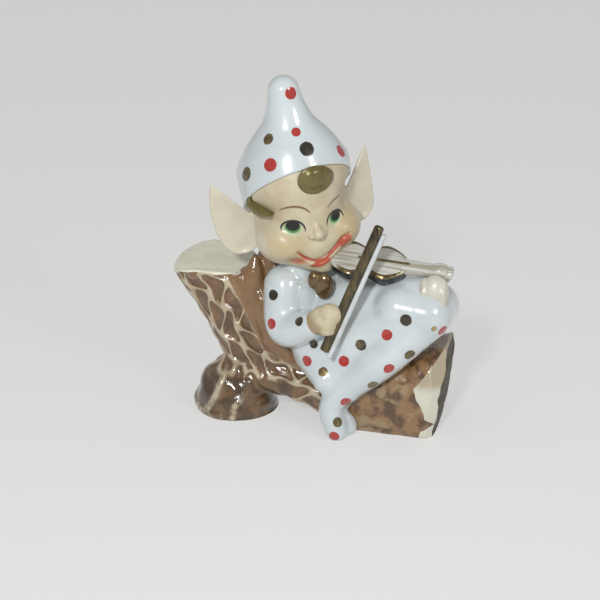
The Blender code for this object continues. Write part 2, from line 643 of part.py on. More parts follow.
def set_down(lump):
    # Cuts the base flat at Z = 0, and centres the figurine over the origin
    bpy.ops.mesh.primitive_cube_add(size=1.0)
    floor = bpy.context.object
    floor.name = "floor_cutter"
    floor.dimensions = (0.2, 0.2, 0.05)
    floor.location = (0.0, 0.0, -0.025)
    floor.hide_render = True
    floor.display_type = "WIRE"
    bpy.context.view_layer.update()
    cut = lump.modifiers.new("flat_base", "BOOLEAN")
    cut.operation = "DIFFERENCE"
    cut.object = floor
    cut.solver = "EXACT"
    settle(lump)
    points = read_points(lump.data)
    middle = 0.5 * (points.min(axis=0) + points.max(axis=0))
    lump.location = (-middle[0], -middle[1], 0.0)


def glaze():
    # Clear-glazed white porcelain
    material = bpy.data.materials.new("glazed_porcelain")
    material.use_nodes = True
    shader = material.node_tree.nodes["Principled BSDF"]
    shader.inputs["Base Color"].default_value = (0.78, 0.80, 0.80, 1.0)
    shader.inputs["Roughness"].default_value = 0.12
    shader.inputs["Metallic"].default_value = 0.0
    return material


def main():
    for old in list(bpy.data.objects):
        bpy.data.objects.remove(old)
    tree = new_lump("tree", add_trunk, add_log)
    fuse(tree, 4)
    carve_bark(tree)
    hew(tree)
    head = new_lump("head", add_head)
    fuse(head, 26)
    carve_smile(head)
    builders = [add_rests, add_legs, add_body, add_face, add_hat, add_ears, add_violin]
    figurine = new_lump("elf_figurine", *builders)
    whole = bmesh.new()
    for lump in (figurine, tree, head):
        whole.from_mesh(lump.data)
    whole.to_mesh(figurine.data)
    whole.free()
    bpy.data.objects.remove(tree)
    bpy.data.objects.remove(head)
    fuse(figurine, 3)
    thin_out(figurine)
    set_down(figurine)
    figurine.data.materials.append(glaze())
    figurine.data.shade_smooth()
    figurine.data.set_sharp_from_angle(angle=math.radians(50))


main()
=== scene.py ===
import math

import bpy
import numpy as np
from mathutils import Euler, Matrix, Vector


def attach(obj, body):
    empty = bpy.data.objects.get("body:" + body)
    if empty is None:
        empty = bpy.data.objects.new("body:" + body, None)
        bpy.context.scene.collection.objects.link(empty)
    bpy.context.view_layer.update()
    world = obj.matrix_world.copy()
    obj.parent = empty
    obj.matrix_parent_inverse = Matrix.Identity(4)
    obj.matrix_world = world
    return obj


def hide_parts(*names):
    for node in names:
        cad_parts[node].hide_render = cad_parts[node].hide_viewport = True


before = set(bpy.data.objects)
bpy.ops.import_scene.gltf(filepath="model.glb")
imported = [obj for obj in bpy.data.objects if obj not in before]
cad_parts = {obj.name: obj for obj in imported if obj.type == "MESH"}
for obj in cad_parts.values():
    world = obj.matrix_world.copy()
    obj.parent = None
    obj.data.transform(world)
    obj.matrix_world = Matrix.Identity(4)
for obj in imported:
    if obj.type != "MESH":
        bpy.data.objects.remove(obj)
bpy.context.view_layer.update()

# A glazed porcelain elf who sits back on a hewn tree and plays the violin.
# Sizes and places are in millimetres from the figurine's own origin, which footing moves to the
# middle of its footprint. The front faces -Y, the stump is at -X and the knees are at +X.
mm = 0.001
footing = np.array([-3.024, 5.054, 0.0])


# Placing: points are rows of x, y, z

def spot(x, y, z):
    return np.array([x, y, z], dtype=float)


def heading(turn, rise):
    # unit vector turned from +X towards the front by turn, raised by rise, in degrees
    a, b = math.radians(turn), math.radians(rise)
    return spot(math.cos(a) * math.cos(b), -math.sin(a) * math.cos(b), math.sin(b))


def unit(v):
    return v / np.maximum(np.linalg.norm(v, axis=-1, keepdims=True), 1e-9)


def blendStep(low, high, x):
    # 0 below low, 1 above high, an S curve between: 3t^2 - 2t^3
    t = np.clip((x - low) / (high - low), 0.0, 1.0)
    return t * t * (3.0 - 2.0 * t)


def throughStops(stops, count):
    # smooth curve through the stops: Catmull-Rom cubic on each span, read at count even parameters
    stops = np.asarray(stops, dtype=float)
    padded = np.vstack([2 * stops[0] - stops[1], stops, 2 * stops[-1] - stops[-2]])
    t = np.linspace(0, len(stops) - 1, count)
    i = np.minimum(t.astype(int), len(stops) - 2)
    u = (t - i)[:, None]
    p0, p1, p2, p3 = padded[i], padded[i + 1], padded[i + 2], padded[i + 3]
    return 0.5 * (2 * p1 + (p2 - p0) * u + (2 * p0 - 5 * p1 + 4 * p2 - p3) * u**2
                  + (3 * p1 - p0 - 3 * p2 + p3) * u**3)


# Surfaces: a grid is rows of rings, and a shell is its points and faces, closed at both ends

def tubeGrid(stops, towards=(0, -1, 0), along=40, around=36, round=8, square=2.0, bulge=1.0):
    # stops: x, y, z, half width, half depth and, if they differ, square. Ring point = centre
    # + width cos(a) side + depth sin(a) front, with |cos|, |sin| raised to 2/square; each end is closed
    # by rings that shrink as a quarter circle, bulge half widths deep
    stops = [(*stop, square) if len(stop) == 5 else stop for stop in stops]
    curve = throughStops(stops, along)
    centre, wide, deep = curve[:, :3], curve[:, 3], curve[:, 4]
    tangent = unit(np.gradient(centre, axis=0))
    front = np.broadcast_to(np.asarray(towards, dtype=float), centre.shape)
    front = unit(front - np.sum(front * tangent, axis=1, keepdims=True) * tangent)
    side = np.cross(front, tangent)
    bend = np.linspace(np.pi / 2, 0, round, endpoint=False)
    shrink = np.cos(bend)
    reach = bulge * np.minimum(wide, deep)

    def drawnIn(sizes):
        return np.concatenate([shrink * sizes[0], sizes, shrink[::-1] * sizes[-1]])[:, None]

    def repeated(rows):
        return np.concatenate([np.repeat(rows[:1], round, 0), rows, np.repeat(rows[-1:], round, 0)])

    before = centre[0] - tangent[0] * (np.sin(bend) * reach[0])[:, None]
    after = centre[-1] + tangent[-1] * (np.sin(bend[::-1]) * reach[-1])[:, None]
    centres = np.vstack([before, centre, after])
    a = np.linspace(0, 2 * np.pi, around, endpoint=False)
    power = 2 / repeated(curve[:, 5])[:, None]
    c = np.sign(np.cos(a)) * np.abs(np.cos(a)) ** power
    s = np.sign(np.sin(a)) * np.abs(np.sin(a)) ** power
    return (centres[:, None] + (drawnIn(wide) * c)[..., None] * repeated(side)[:, None]
            + (drawnIn(deep) * s)[..., None] * repeated(front)[:, None])


def ballGrid(centre, radii, turn=np.eye(3), rings=36, around=56):
    # centre + turn (rx sin(u) cos(v), ry sin(u) sin(v), rz cos(u)), from the top down
    u = np.linspace(0, np.pi, rings)[:, None]
    v = np.linspace(0, 2 * np.pi, around, endpoint=False)[None]
    local = np.stack([np.sin(u) * np.cos(v), np.sin(u) * np.sin(v), np.cos(u) * np.ones_like(v)], axis=-1)
    radii = np.broadcast_to(np.asarray(radii, dtype=float), (3,))
    return np.asarray(centre) + (local * radii) @ turn.T


def shellOf(grid):
    # rings joined by quads; the first and last ring are drawn in to one point each
    rows, cols = grid.shape[:2]
    body = grid[1:-1].reshape(-1, 3)
    points = np.vstack([body, grid[0].mean(axis=0), grid[-1].mean(axis=0)])
    r = np.arange(rows - 3)[:, None] * cols
    c = np.arange(cols)[None]
    n = (c + 1) % cols
    quads = np.stack([r + c, r + n, r + cols + n, r + cols + c], axis=-1).reshape(-1, 4)
    first, last = len(body), len(body) + 1
    lastRow = (rows - 3) * cols
    top = np.stack([np.full(cols, first), n[0], c[0]], axis=-1)
    bottom = np.stack([np.full(cols, last), lastRow + c[0], lastRow + n[0]], axis=-1)
    return points, quads.tolist() + top.tolist() + bottom.tolist()


def joinShells(shells):
    points, faces, start = [], [], 0
    for p, f in shells:
        points.append(p)
        faces += [[i + start for i in face] for face in f]
        start += len(p)
    return np.vstack(points), faces


def shellsOf(grids):
    return joinShells([shellOf(grid) for grid in grids])


def limbGrid(places, radii):
    # a round tube through the places
    return tubeGrid([(*place, radius, radius) for place, radius in zip(places, radii)])


def addObject(name, data):
    made = bpy.data.objects.new(name, data)
    bpy.context.scene.collection.objects.link(made)
    return made


def newPiece(name, shell):
    # a mesh object at the origin, its points in the row frame in metres, its faces turned outwards
    points, faces = shell
    mesh = bpy.data.meshes.new(name)
    mesh.from_pydata(((points + footing) * mm).tolist(), [], faces)
    mesh.update()
    piece = addObject(name, mesh)
    if signedVolume(mesh) < 0:
        mesh.flip_normals()
    mesh.shade_smooth()
    return piece


def signedVolume(mesh):
    # sum over triangles of a . (b x c) / 6
    mesh.calc_loop_triangles()
    tri = np.empty(3 * len(mesh.loop_triangles), dtype=np.int32)
    mesh.loop_triangles.foreach_get("vertices", tri)
    p = readPoints(mesh)[tri.reshape(-1, 3)]
    return np.einsum("ij,ij->i", p[:, 0], np.cross(p[:, 1], p[:, 2])).sum() / 6


def readRows(mesh, label):
    flat = np.empty(3 * len(mesh.vertices))
    mesh.vertices.foreach_get(label, flat)
    return flat.reshape(-1, 3)


def readPoints(mesh):
    # vertex positions in millimetres from the figurine's own origin
    return readRows(mesh, "co") / mm - footing


def readNormals(mesh):
    return readRows(mesh, "normal")


def writePoints(mesh, points):
    mesh.vertices.foreach_set("co", ((points + footing) * mm).ravel())
    mesh.update()


def applyModifiers(piece):
    graph = bpy.context.evaluated_depsgraph_get()
    mesh = bpy.data.meshes.new_from_object(piece.evaluated_get(graph))
    piece.modifiers.clear()
    piece.data = mesh
    mesh.shade_smooth()


def soften(piece, times):
    # each time every vertex moves half way to the mean of its neighbours
    smooth = piece.modifiers.new("soften", "SMOOTH")
    smooth.factor = 0.5
    smooth.iterations = times
    applyModifiers(piece)


def fuse(piece, grain, times):
    # overlapping forms become one skin on a grid of that grain, and the creases fill as glaze fills them
    remesh = piece.modifiers.new("fuse", "REMESH")
    remesh.mode = "VOXEL"
    remesh.voxel_size = grain * mm
    remesh.use_smooth_shade = True
    soften(piece, times)


def tag(piece, name, values):
    # a number on every vertex, which a material reads by name
    layer = piece.data.attributes.new(name, "FLOAT", "POINT")
    layer.data.foreach_set("value", np.asarray(values, dtype=np.float32))


def distanceTo(points, place):
    return np.linalg.norm(points - np.asarray(place), axis=1)


def distanceToPath(points, stops):
    # distance to the nearest of a chain of straight spans
    best = np.full(len(points), 1e9)
    for a, b in zip(stops[:-1], stops[1:]):
        share = np.clip((points - a) @ (b - a) / np.linalg.norm(b - a) ** 2, 0.0, 1.0)
        best = np.minimum(best, np.linalg.norm(points - a - share[:, None] * (b - a), axis=1))
    return best


def bell(away, width):
    # 1 at no distance, falling off as exp(-(away / width)^2)
    return np.exp(-((away / width) ** 2))


def nearestReach(points, dots):
    # smallest distance / radius over the dots, so a dot is where this is below 1
    reach = np.full(len(points), 9.0)
    for place, radius in dots:
        reach = np.minimum(reach, distanceTo(points, place) / radius)
    return reach


def spreadDots(points, free, taken, spacing):
    # further dots where free is true: each time the point that lies farthest from every dot so far,
    # until none is left that keeps the spacing
    gap = np.min([distanceTo(points, place) for place in taken], axis=0)
    found = []
    while True:
        best = np.argmax(np.where(free, gap, 0.0))
        if gap[best] < spacing:
            return found
        found.append(points[best])
        gap = np.minimum(gap, distanceTo(points, points[best]))


# Paint: small builders for node trees

def srgb(red, green, blue):
    # screen values 0-255 to the linear values that shaders take: ((c + 0.055) / 1.055) ^ 2.4
    return (*(((np.array([red, green, blue]) / 255 + 0.055) / 1.055) ** 2.4).tolist(), 1.0)


def addNode(tree, kind, inputs=None, **settings):
    # each input is linked if a socket is given, and otherwise set to the value
    made = tree.nodes.new("ShaderNode" + kind)
    for name, value in settings.items():
        setattr(made, name, value)
    for key, value in (inputs or {}).items():
        if isinstance(value, bpy.types.NodeSocket):
            tree.links.new(value, made.inputs[key])
        else:
            made.inputs[key].default_value = value
    return made


def calc(tree, operation, *values):
    return addNode(tree, "Math", dict(enumerate(values)), operation=operation).outputs[0]


def vectorCalc(tree, operation, *values):
    made = addNode(tree, "VectorMath", dict(enumerate(values)), operation=operation)
    return made.outputs["Value" if operation in ("LENGTH", "DOT_PRODUCT", "DISTANCE") else "Vector"]


def ramp(tree, value, low, high, first=0.0, last=1.0):
    # an S curve from first at low to last at high
    inputs = {"Value": value, "From Min": low, "From Max": high, "To Min": first, "To Max": last}
    return addNode(tree, "MapRange", inputs, interpolation_type="SMOOTHSTEP").outputs["Result"]


def lay(tree, mask, under, over):
    # one colour over another where the mask is 1
    return addNode(tree, "Mix", {0: mask, 6: under, 7: over}, data_type="RGBA").outputs[2]


def layNumber(tree, mask, under, over):
    return addNode(tree, "Mix", {0: mask, 2: under, 3: over}, data_type="FLOAT").outputs[0]


def readTag(tree, name):
    return addNode(tree, "Attribute", attribute_name=name).outputs["Fac"]


def noise(tree, vector, scale, detail=2.0, distortion=0.0):
    inputs = {"Vector": vector, "Scale": scale, "Detail": detail, "Distortion": distortion}
    return addNode(tree, "TexNoise", inputs).outputs["Fac"]


def partCoordinates(tree, origin=(0, 0, 0), turn=(0, 0, 0)):
    # object coordinates in millimetres, from a part's own origin and along its own axes
    place = tree.nodes.new("ShaderNodeTexCoord").outputs["Object"]
    inputs = {"Vector": place, "Location": tuple((np.asarray(origin) * mm).tolist()), "Rotation": tuple(turn),
              "Scale": (mm, mm, mm)}
    return addNode(tree, "Mapping", inputs, vector_type="TEXTURE").outputs["Vector"]


def newGroup(name, inputs, outputs):
    # a node group with its sockets: numbers, vectors of three and colours of four
    group = bpy.data.node_groups.new(name, "ShaderNodeTree")
    kinds = {0: "NodeSocketFloat", 3: "NodeSocketVector", 4: "NodeSocketColor"}
    for label, value in inputs.items():
        size = len(value) if isinstance(value, tuple) else 0
        socket = group.interface.new_socket(label, in_out="INPUT", socket_type=kinds[size])
        socket.default_value = value
    for label, size in outputs.items():
        group.interface.new_socket(label, in_out="OUTPUT", socket_type=kinds[size])
    return group, group.nodes.new("NodeGroupInput").outputs, group.nodes.new("NodeGroupOutput").inputs


def useGroup(tree, group, inputs):
    return addNode(tree, "Group", inputs, node_tree=group).outputs


def newFinish(name, settings):
    # a material; the settings go on the shader's own sockets
    material = bpy.data.materials.new(name)
    material.use_nodes = True
    shader = material.node_tree.nodes["Principled BSDF"]
    for label, value in settings.items():
        shader.inputs[label].default_value = value
    return material, material.node_tree, shader.inputs


def addBump(tree, shader, height, depth):
    # height 0-1 stands for depth millimetres
    made = addNode(tree, "Bump", {"Height": height, "Distance": depth * mm, "Strength": 1.0})
    tree.links.new(made.outputs["Normal"], shader["Normal"])


print("helpers ready")


# Node groups that several finishes share

def insideOne(tree, reach, edge):
    # 1 where reach is below 1, fading to 0 over edge on either side of it
    low, high = calc(tree, "SUBTRACT", 1.0, edge), calc(tree, "ADD", 1.0, edge)
    return ramp(tree, reach, low, high, 1.0, 0.0)


def flatOffset(tree, given):
    # from the centre to the place, in the (x, z) plane
    offset = vectorCalc(tree, "SUBTRACT", given["Vector"], given["Centre"])
    return vectorCalc(tree, "MULTIPLY", offset, (1.0, 0.0, 1.0))


def makeWavyMask():
    # 1 where reach is below 1, with an edge that wavers a little as a brush leaves it
    inputs = {"Reach": 2.0, "Edge": 0.06, "Waver": 0.08, "Grain": 0.8, "Vector": (0.0, 0.0, 0.0)}
    tree, given, result = newGroup("wavyMask", inputs, {"Mask": 0})
    shift = calc(tree, "MULTIPLY_ADD", noise(tree, given["Vector"], given["Grain"], 1.0), 2.0, -1.0)
    reach = calc(tree, "MULTIPLY_ADD", shift, given["Waver"], given["Reach"])
    tree.links.new(insideOne(tree, reach, given["Edge"]), result["Mask"])
    return tree


def makeMottle():
    # two colours in soft cloudy patches; balance moves the share, contrast sharpens the patches
    inputs = {"Vector": (0.0, 0.0, 0.0), "Scale": 0.3, "Balance": 0.5, "Contrast": 2.0,
              "First": (1.0, 1.0, 1.0, 1.0), "Second": (0.5, 0.5, 0.5, 1.0)}
    tree, given, result = newGroup("mottle", inputs, {"Color": 4})
    cloud = noise(tree, given["Vector"], given["Scale"], 3.0, 0.4)
    away = calc(tree, "SUBTRACT", cloud, given["Balance"])
    mask = ramp(tree, calc(tree, "MULTIPLY_ADD", away, given["Contrast"], 0.5), 0.0, 1.0)
    tree.links.new(lay(tree, mask, given["First"], given["Second"]), result["Color"])
    return tree


def makeGilding():
    # fired gold: dark where it lies thick, brown where it is thin, bright in a few rubbed spots
    inputs = {"Vector": (0.0, 0.0, 0.0), "Scale": 0.8, "Tone": 0.5}
    tree, given, result = newGroup("gilding", inputs, {"Color": 4, "Roughness": 0})
    cloud = noise(tree, given["Vector"], given["Scale"], 3.0, 0.6)
    # Tone moves all of it darker or brighter; for the gold dots it carries painted reflection
    level = calc(tree, "MULTIPLY_ADD", cloud, 0.9, calc(tree, "MULTIPLY_ADD", given["Tone"], 0.9, -0.45))
    colour = lay(tree, ramp(tree, level, 0.15, 0.55), srgb(50, 43, 27), srgb(112, 96, 58))
    colour = lay(tree, ramp(tree, level, 0.55, 1.0), colour, srgb(184, 164, 112))
    tree.links.new(colour, result["Color"])
    tree.links.new(ramp(tree, cloud, 0.3, 0.7, 0.16, 0.34), result["Roughness"])
    return tree


def makeOvalPatch():
    # (x, z) within an oval: length of ((x - cx) / rx, (z - cz) / rz) after a turn about y
    inputs = {"Vector": (0.0, 0.0, 0.0), "Centre": (0.0, 0.0, 0.0), "Turn": 0.0, "Size": (1.0, 1.0, 1.0),
              "Edge": 0.1}
    tree, given, result = newGroup("ovalPatch", inputs, {"Mask": 0})
    turned = addNode(tree, "VectorRotate", {"Vector": flatOffset(tree, given), "Angle": given["Turn"],
                                            "Axis": (0.0, 1.0, 0.0)})
    reach = vectorCalc(tree, "LENGTH", vectorCalc(tree, "DIVIDE", turned.outputs["Vector"], given["Size"]))
    tree.links.new(insideOne(tree, reach, given["Edge"]), result["Mask"])
    return tree


def makeArcStroke():
    # a brush line along a circle in (x, z): |distance to centre - radius| under half width, which
    # tapers as sqrt(1 - (angle from the middle / reach)^2)
    inputs = {"Vector": (0.0, 0.0, 0.0), "Centre": (0.0, 0.0, 0.0), "Middle": (0.0, 0.0, 1.0), "Reach": 1.0,
              "Radius": 1.0, "Half Width": 0.2, "Edge": 0.35}
    tree, given, result = newGroup("arcStroke", inputs, {"Mask": 0})
    flat = flatOffset(tree, given)
    away = calc(tree, "ABSOLUTE", calc(tree, "SUBTRACT", vectorCalc(tree, "LENGTH", flat), given["Radius"]))
    cosine = vectorCalc(tree, "DOT_PRODUCT", vectorCalc(tree, "NORMALIZE", flat), given["Middle"])
    share = calc(tree, "DIVIDE", calc(tree, "ARCCOSINE", cosine), given["Reach"])
    left = calc(tree, "SUBTRACT", 1.0, calc(tree, "MULTIPLY", share, share))
    taper = calc(tree, "SQRT", calc(tree, "MAXIMUM", left, 0.0001))
    reach = calc(tree, "DIVIDE", away, calc(tree, "MULTIPLY", given["Half Width"], taper))
    tree.links.new(insideOne(tree, reach, given["Edge"]), result["Mask"])
    return tree


wavyMask, mottle, gilding, ovalPatch, arcStroke = (
    make() for make in (makeWavyMask, makeMottle, makeGilding, makeOvalPatch, makeArcStroke))


def patchy(tree, place, first, second, scale, balance=0.5, contrast=2.0):
    return useGroup(tree, mottle, {"Vector": place, "Scale": scale, "Balance": balance, "Contrast": contrast,
                                   "First": first, "Second": second})["Color"]


print("paint ready")


# White glaze with red and gold dots, for the suit and the cap

dotPaint = {"red": srgb(160, 34, 26), "redEdge": srgb(176, 58, 54), "white": srgb(205, 213, 215),
            "pooled": srgb(190, 199, 201), "spreadRadius": 1.7}


def makeDottedGlaze():
    # cloudy white, with red and gold laid over it where a tag says that a dot is near
    d = dotPaint
    coat = {"Coat Weight": 1.0, "Coat Roughness": 0.03, "Coat IOR": 1.5}
    material, tree, shader = newFinish("dottedGlaze", coat)
    place = partCoordinates(tree)
    red, gold = (
        useGroup(tree, wavyMask, {"Reach": readTag(tree, name), "Vector": place, "Waver": waver})["Mask"]
        for name, waver in (("redReach", 0.05), ("goldReach", 0.07)))
    # each gold dot's tone; on the given dots the dark tones are painted reflection
    leaf = useGroup(tree, gilding, {"Vector": place, "Scale": 0.7, "Tone": readTag(tree, "goldToneAndReflection")})
    white = patchy(tree, place, d["white"], d["pooled"], 0.09, 0.5, 1.6)
    colour = lay(tree, red, white, patchy(tree, place, d["red"], d["redEdge"], 1.1, 0.62, 1.5))
    tree.links.new(lay(tree, gold, colour, leaf["Color"]), shader["Base Color"])
    tree.links.new(calc(tree, "MULTIPLY", gold, 0.5), shader["Metallic"])
    tree.links.new(layNumber(tree, gold, 0.22, leaf["Roughness"]), shader["Roughness"])
    addBump(tree, shader, calc(tree, "MULTIPLY_ADD", red, 0.3, noise(tree, place, 0.35)), 0.03)
    return material


def tagDots(piece, redDots, goldDots, tonesAndReflections, spacing, free):
    # the given dots, then red and gold ones by turns where the piece is free; tones are those of the given
    # gold dots, the dark ones a painted reflection of dark surroundings, and the others' run as 0.45 + 0.3
    # sin(2.4 k + 0.6)
    points = readPoints(piece.data)
    taken = [place for place, _ in redDots + goldDots]
    for k, place in enumerate(spreadDots(points, free(points, readNormals(piece.data)), taken, spacing)):
        (redDots if k % 2 == 0 else goldDots).append((place, dotPaint["spreadRadius"]))
    tag(piece, "redReach", nearestReach(points, redDots))
    tag(piece, "goldReach", nearestReach(points, goldDots))
    nearest = np.argmin([distanceTo(points, place) for place, _ in goldDots], axis=0)
    tonesAndReflections = np.array([*tonesAndReflections, *(0.45 + 0.3 * np.sin(2.4 * np.arange(len(goldDots) - len(tonesAndReflections)) + 0.6))])
    tag(piece, "goldToneAndReflection", tonesAndReflections[nearest])


dottedGlaze = makeDottedGlaze()


# Where the body bends: each place follows from the one before it and a length

pose = {
    "hip": (7.1, -6.0, 24.4), "torso": 16.5, "shoulderOut": 7.5, "upperArm": 12.5, "forearm": 11.2,
    "handReach": 6.1, "thigh": 35.0, "shin": 38.5, "foot": 8.8, "legSpacing": 11.0, "neck": 25.1,
    "farShoulderOut": 9.0, "farPalm": (39.6, -4.5, -19.2),  # from the chest, and from the head's middle
}

hip = spot(*pose["hip"])
chest = hip + pose["torso"] * heading(-163, 66)
shoulder = chest + pose["shoulderOut"] * heading(134, 28)
elbow = shoulder + pose["upperArm"] * heading(70, -65)
wrist = elbow + pose["forearm"] * heading(29, 20)
hand = wrist + pose["handReach"] * heading(23, 27)
nearHip = hip - spot(0, 0.25 * pose["legSpacing"], 0)
farHip = hip + spot(0, 0.75 * pose["legSpacing"], 0)
nearKnee = nearHip + pose["thigh"] * heading(4, 24)
farKnee = farHip + pose["thigh"] * heading(4, 21)
ankle = nearKnee + pose["shin"] * heading(164.5, -46)
toe = ankle + pose["foot"] * heading(43, -76)
headMiddle = chest + pose["neck"] * heading(150, 89)
headLean = tuple(math.radians(angle) for angle in (2, -10, 32))
headTurn = np.array(Euler(headLean, "XYZ").to_matrix())
viewSide = heading(76, 22)


def fromHead(local):
    # head coordinates (x to the elf's left, y to the back of the head, z up) to the figurine's own
    return headMiddle + np.asarray(local, dtype=float) @ headTurn.T


def toHead(points):
    return (points - headMiddle) @ headTurn


# Suit: torso, legs and sleeves in one

suit = {
    "chest": 9.0, "hip": 8.6, "thigh": 8.6, "knee": 7.7, "calf": 6.4, "ankle": 3.8, "toe": 3.6,
    "shoulder": 6.2, "elbow": 5.8, "cuff": 4.5, "farSleeve": (4.9, 5.0, 4.6), "grain": 0.42, "softenings": 44,
    "redRadius": 1.65, "spacing": 9.5,
    "redDots": [(5.1, -17, 22.8), (16.6, -18.5, 24.7), (29.1, -18.6, 34.4), (30.3, -20.4, 24.6),
                (17.8, -20.8, 12.7), (14.8, -23, 1.9), (44.7, -15.2, 35.8), (-5.5, -18, 34)],
    "goldDots": [  # x, y, z and radius
        (10.5, -19.3, 20.9, 1.45), (21.5, -18.3, 30.3, 1.7), (34.4, -18.2, 39.4, 1.75),
        (35.9, -18.6, 28.8, 1.7), (25.6, -20.2, 18.8, 1.6), (15.7, -21.8, 6.3, 1.5), (7.1, -16.7, 28.3, 1.3),
        (42.4, -17.6, 37.2, 0.9), (-5.6, -15.4, 42.1, 1.6), (3.8, -21.6, 37.3, 1.45)],
    # tones of the given gold dots; the darkest ones are painted reflection, the dark surroundings mirrored in
    # glossy gold
    "tonesAndReflections": (0.6, 0.4, 0.08, 0.4, 0.6, 0.6, 0.15, 1.0, 0.12, 0.3),
}


def clothGrids(overs, unders, overRadius, underRadius, count):
    # cloth stretched between two lines: tubes from each point of one to the same share of the other
    grids = []
    for share in np.linspace(0.0, 1.0, count):
        over = overs[0] + share * (overs[1] - overs[0])
        under = unders[0] + share * (unders[1] - unders[0])
        grids.append(limbGrid([over, under], [overRadius, underRadius]))
    return grids


def makeSuit():
    # the union of round tubes along every limb and of cloth between them, fused and smoothed into one skin
    s = suit
    farShoulder = chest + pose["farShoulderOut"] * heading(-25, 20)
    farPalm = headMiddle + spot(*pose["farPalm"])
    farElbow = farShoulder + 0.55 * (farPalm - farShoulder) - spot(0, 0, 4.0)
    farWrist = farPalm + spot(-3.5, 1.5, -1.5)
    calf = 0.5 * (nearKnee + ankle) + spot(0, -0.6, 0)
    heel = ankle + spot(0.6, 0.9, 0.0) * s["toe"]
    farToe = toe + spot(0.75, 0.95, 0.0) * s["toe"]
    grids = [
        limbGrid([hip, 0.5 * (hip + chest), chest], [1.1 * s["hip"], 0.97 * s["chest"], s["chest"]]),
        limbGrid([chest, headMiddle - spot(0, 0, 8)], [0.75 * s["chest"], 0.7 * s["chest"]]),
        limbGrid([farHip, chest + spot(0, 4.4, 0)], [s["hip"], 0.9 * s["chest"]]),
        limbGrid([nearHip, 0.5 * (nearHip + nearKnee), nearKnee], [s["hip"], s["thigh"], s["knee"]]),
        limbGrid([farHip, 0.5 * (farHip + farKnee), farKnee], [s["hip"], s["thigh"], s["knee"]]),
        limbGrid([nearKnee + spot(-0.8, -0.8, -2.3), calf, ankle, toe],
                 [0.85 * s["knee"], s["calf"], s["ankle"], s["toe"]]),
        limbGrid([farKnee, heel, farToe], [0.8 * s["knee"], 0.9 * s["ankle"], 0.85 * s["toe"]]),
        limbGrid([shoulder, elbow, wrist], [s["shoulder"], s["elbow"], s["cuff"]]),
        limbGrid([farShoulder, farElbow, farWrist], s["farSleeve"]),
    ]
    middle = 0.5 * pose["legSpacing"]
    grids.append(tubeGrid([(*(place + spot(0, middle, 0)), middle + 3, 0.78 * s["thigh"])
                           for place in (nearHip, 0.5 * (nearHip + nearKnee), nearKnee)], towards=(0, 0, 1)))
    shins = [nearKnee + share * (ankle - nearKnee) for share in (0.84, 0.2)]
    thighs = [nearHip + share * (nearKnee - nearHip) + spot(0, -1.0, 0) for share in (0.05, 0.8)]
    grids += clothGrids(thighs, shins, 0.86 * s["thigh"], 1.2 * s["ankle"], 8)
    grids.append(limbGrid([nearHip + spot(-1, -1, -2), ankle + spot(-2.5, 1.2, 6.5)],
                          [0.8 * s["thigh"], 1.1 * s["ankle"]]))
    lap = [nearHip + spot(-1, -0.5, 2), nearKnee + spot(-4, 0, 0)]
    bib = [chest + spot(1.5, -1.5, -1.0), farPalm + spot(-3.0, 0.5, -2.0)]
    grids += clothGrids(lap, bib, 0.82 * s["thigh"], 0.62 * s["chest"], 18)
    grids += clothGrids([shoulder, elbow], [chest, hip], 0.80 * s["shoulder"], 0.72 * s["hip"], 8)
    nearTop, farTop = ([knee, knee + spot(-8, 0, 1)] for knee in (nearKnee, farKnee))
    grids += clothGrids(nearTop, farTop, s["knee"], s["knee"], 3)
    grids.append(limbGrid([farKnee, farWrist + spot(0, 1, -2)], [0.9 * s["knee"], 5.0]))
    piece = newPiece("suit", shellsOf(grids))
    fuse(piece, s["grain"], s["softenings"])
    points = readPoints(piece.data)
    points[:, 2] = np.maximum(points[:, 2], 0.15)
    writePoints(piece.data, points)
    red = [(place, s["redRadius"]) for place in s["redDots"]]
    gold = [(place, radius) for *place, radius in s["goldDots"]]
    tagDots(piece, red, gold, s["tonesAndReflections"], s["spacing"], lambda p, n: (n @ viewSide < -0.15) & (p[:, 2] > 3))
    piece.data.materials.append(dottedGlaze)
    return piece


# Head: skull, cheeks and chin as one egg, then the face pressed into it

head = {
    "skull": (15.0, 14.8, 15.5), "skullUp": 3.0, "skullBack": 0.5, "cheek": 8.4, "cheekOut": 7.6,
    "chin": 3.9, "nose": 1.75, "eggGrain": 0.55, "eggSoftenings": 22, "grain": 0.285, "softenings": 5,
    "dents": [  # centre, size and depth in head coordinates; a negative depth swells
        ((12.8, -6.6, 4.2), (4.6, 6.5, 4.8), 2.4), ((-12.8, -6.6, 4.2), (4.6, 6.5, 4.8), 1.6),
        ((6.4, -13.0, 1.4), (3.4, 4.5, 2.6), 0.9), ((-6.8, -12.6, 1.6), (3.6, 4.5, 2.7), 0.9),
        ((0.0, -14.0, 2.4), (2.2, 4.0, 3.2), 0.5), ((8.6, -11.5, -5.2), (4.0, 5.0, 3.4), -0.9),
        ((-8.0, -11.5, -5.6), (4.4, 5.0, 3.6), -0.9), ((-8.8, -11.0, -9.6), (2.6, 4.0, 1.6), 0.9),
    ],
    "mouth": [(-6.3, -6.4), (-4.0, -9.0), (-1.8, -10.3), (0.9, -10.1), (3.5, -8.9), (5.5, -7.2), (7.4, -5.4),
              (9.4, -4.9)],
    "lowerLip": [(-3.5, -10.6), (-0.8, -11.9), (1.8, -11.0), (4.4, -9.4), (7.3, -7.8), (9.0, -6.8)],
    "mouthDepth": 0.75, "mouthWidth": 0.55, "lipHeight": 0.55, "lipWidth": 0.9,
}


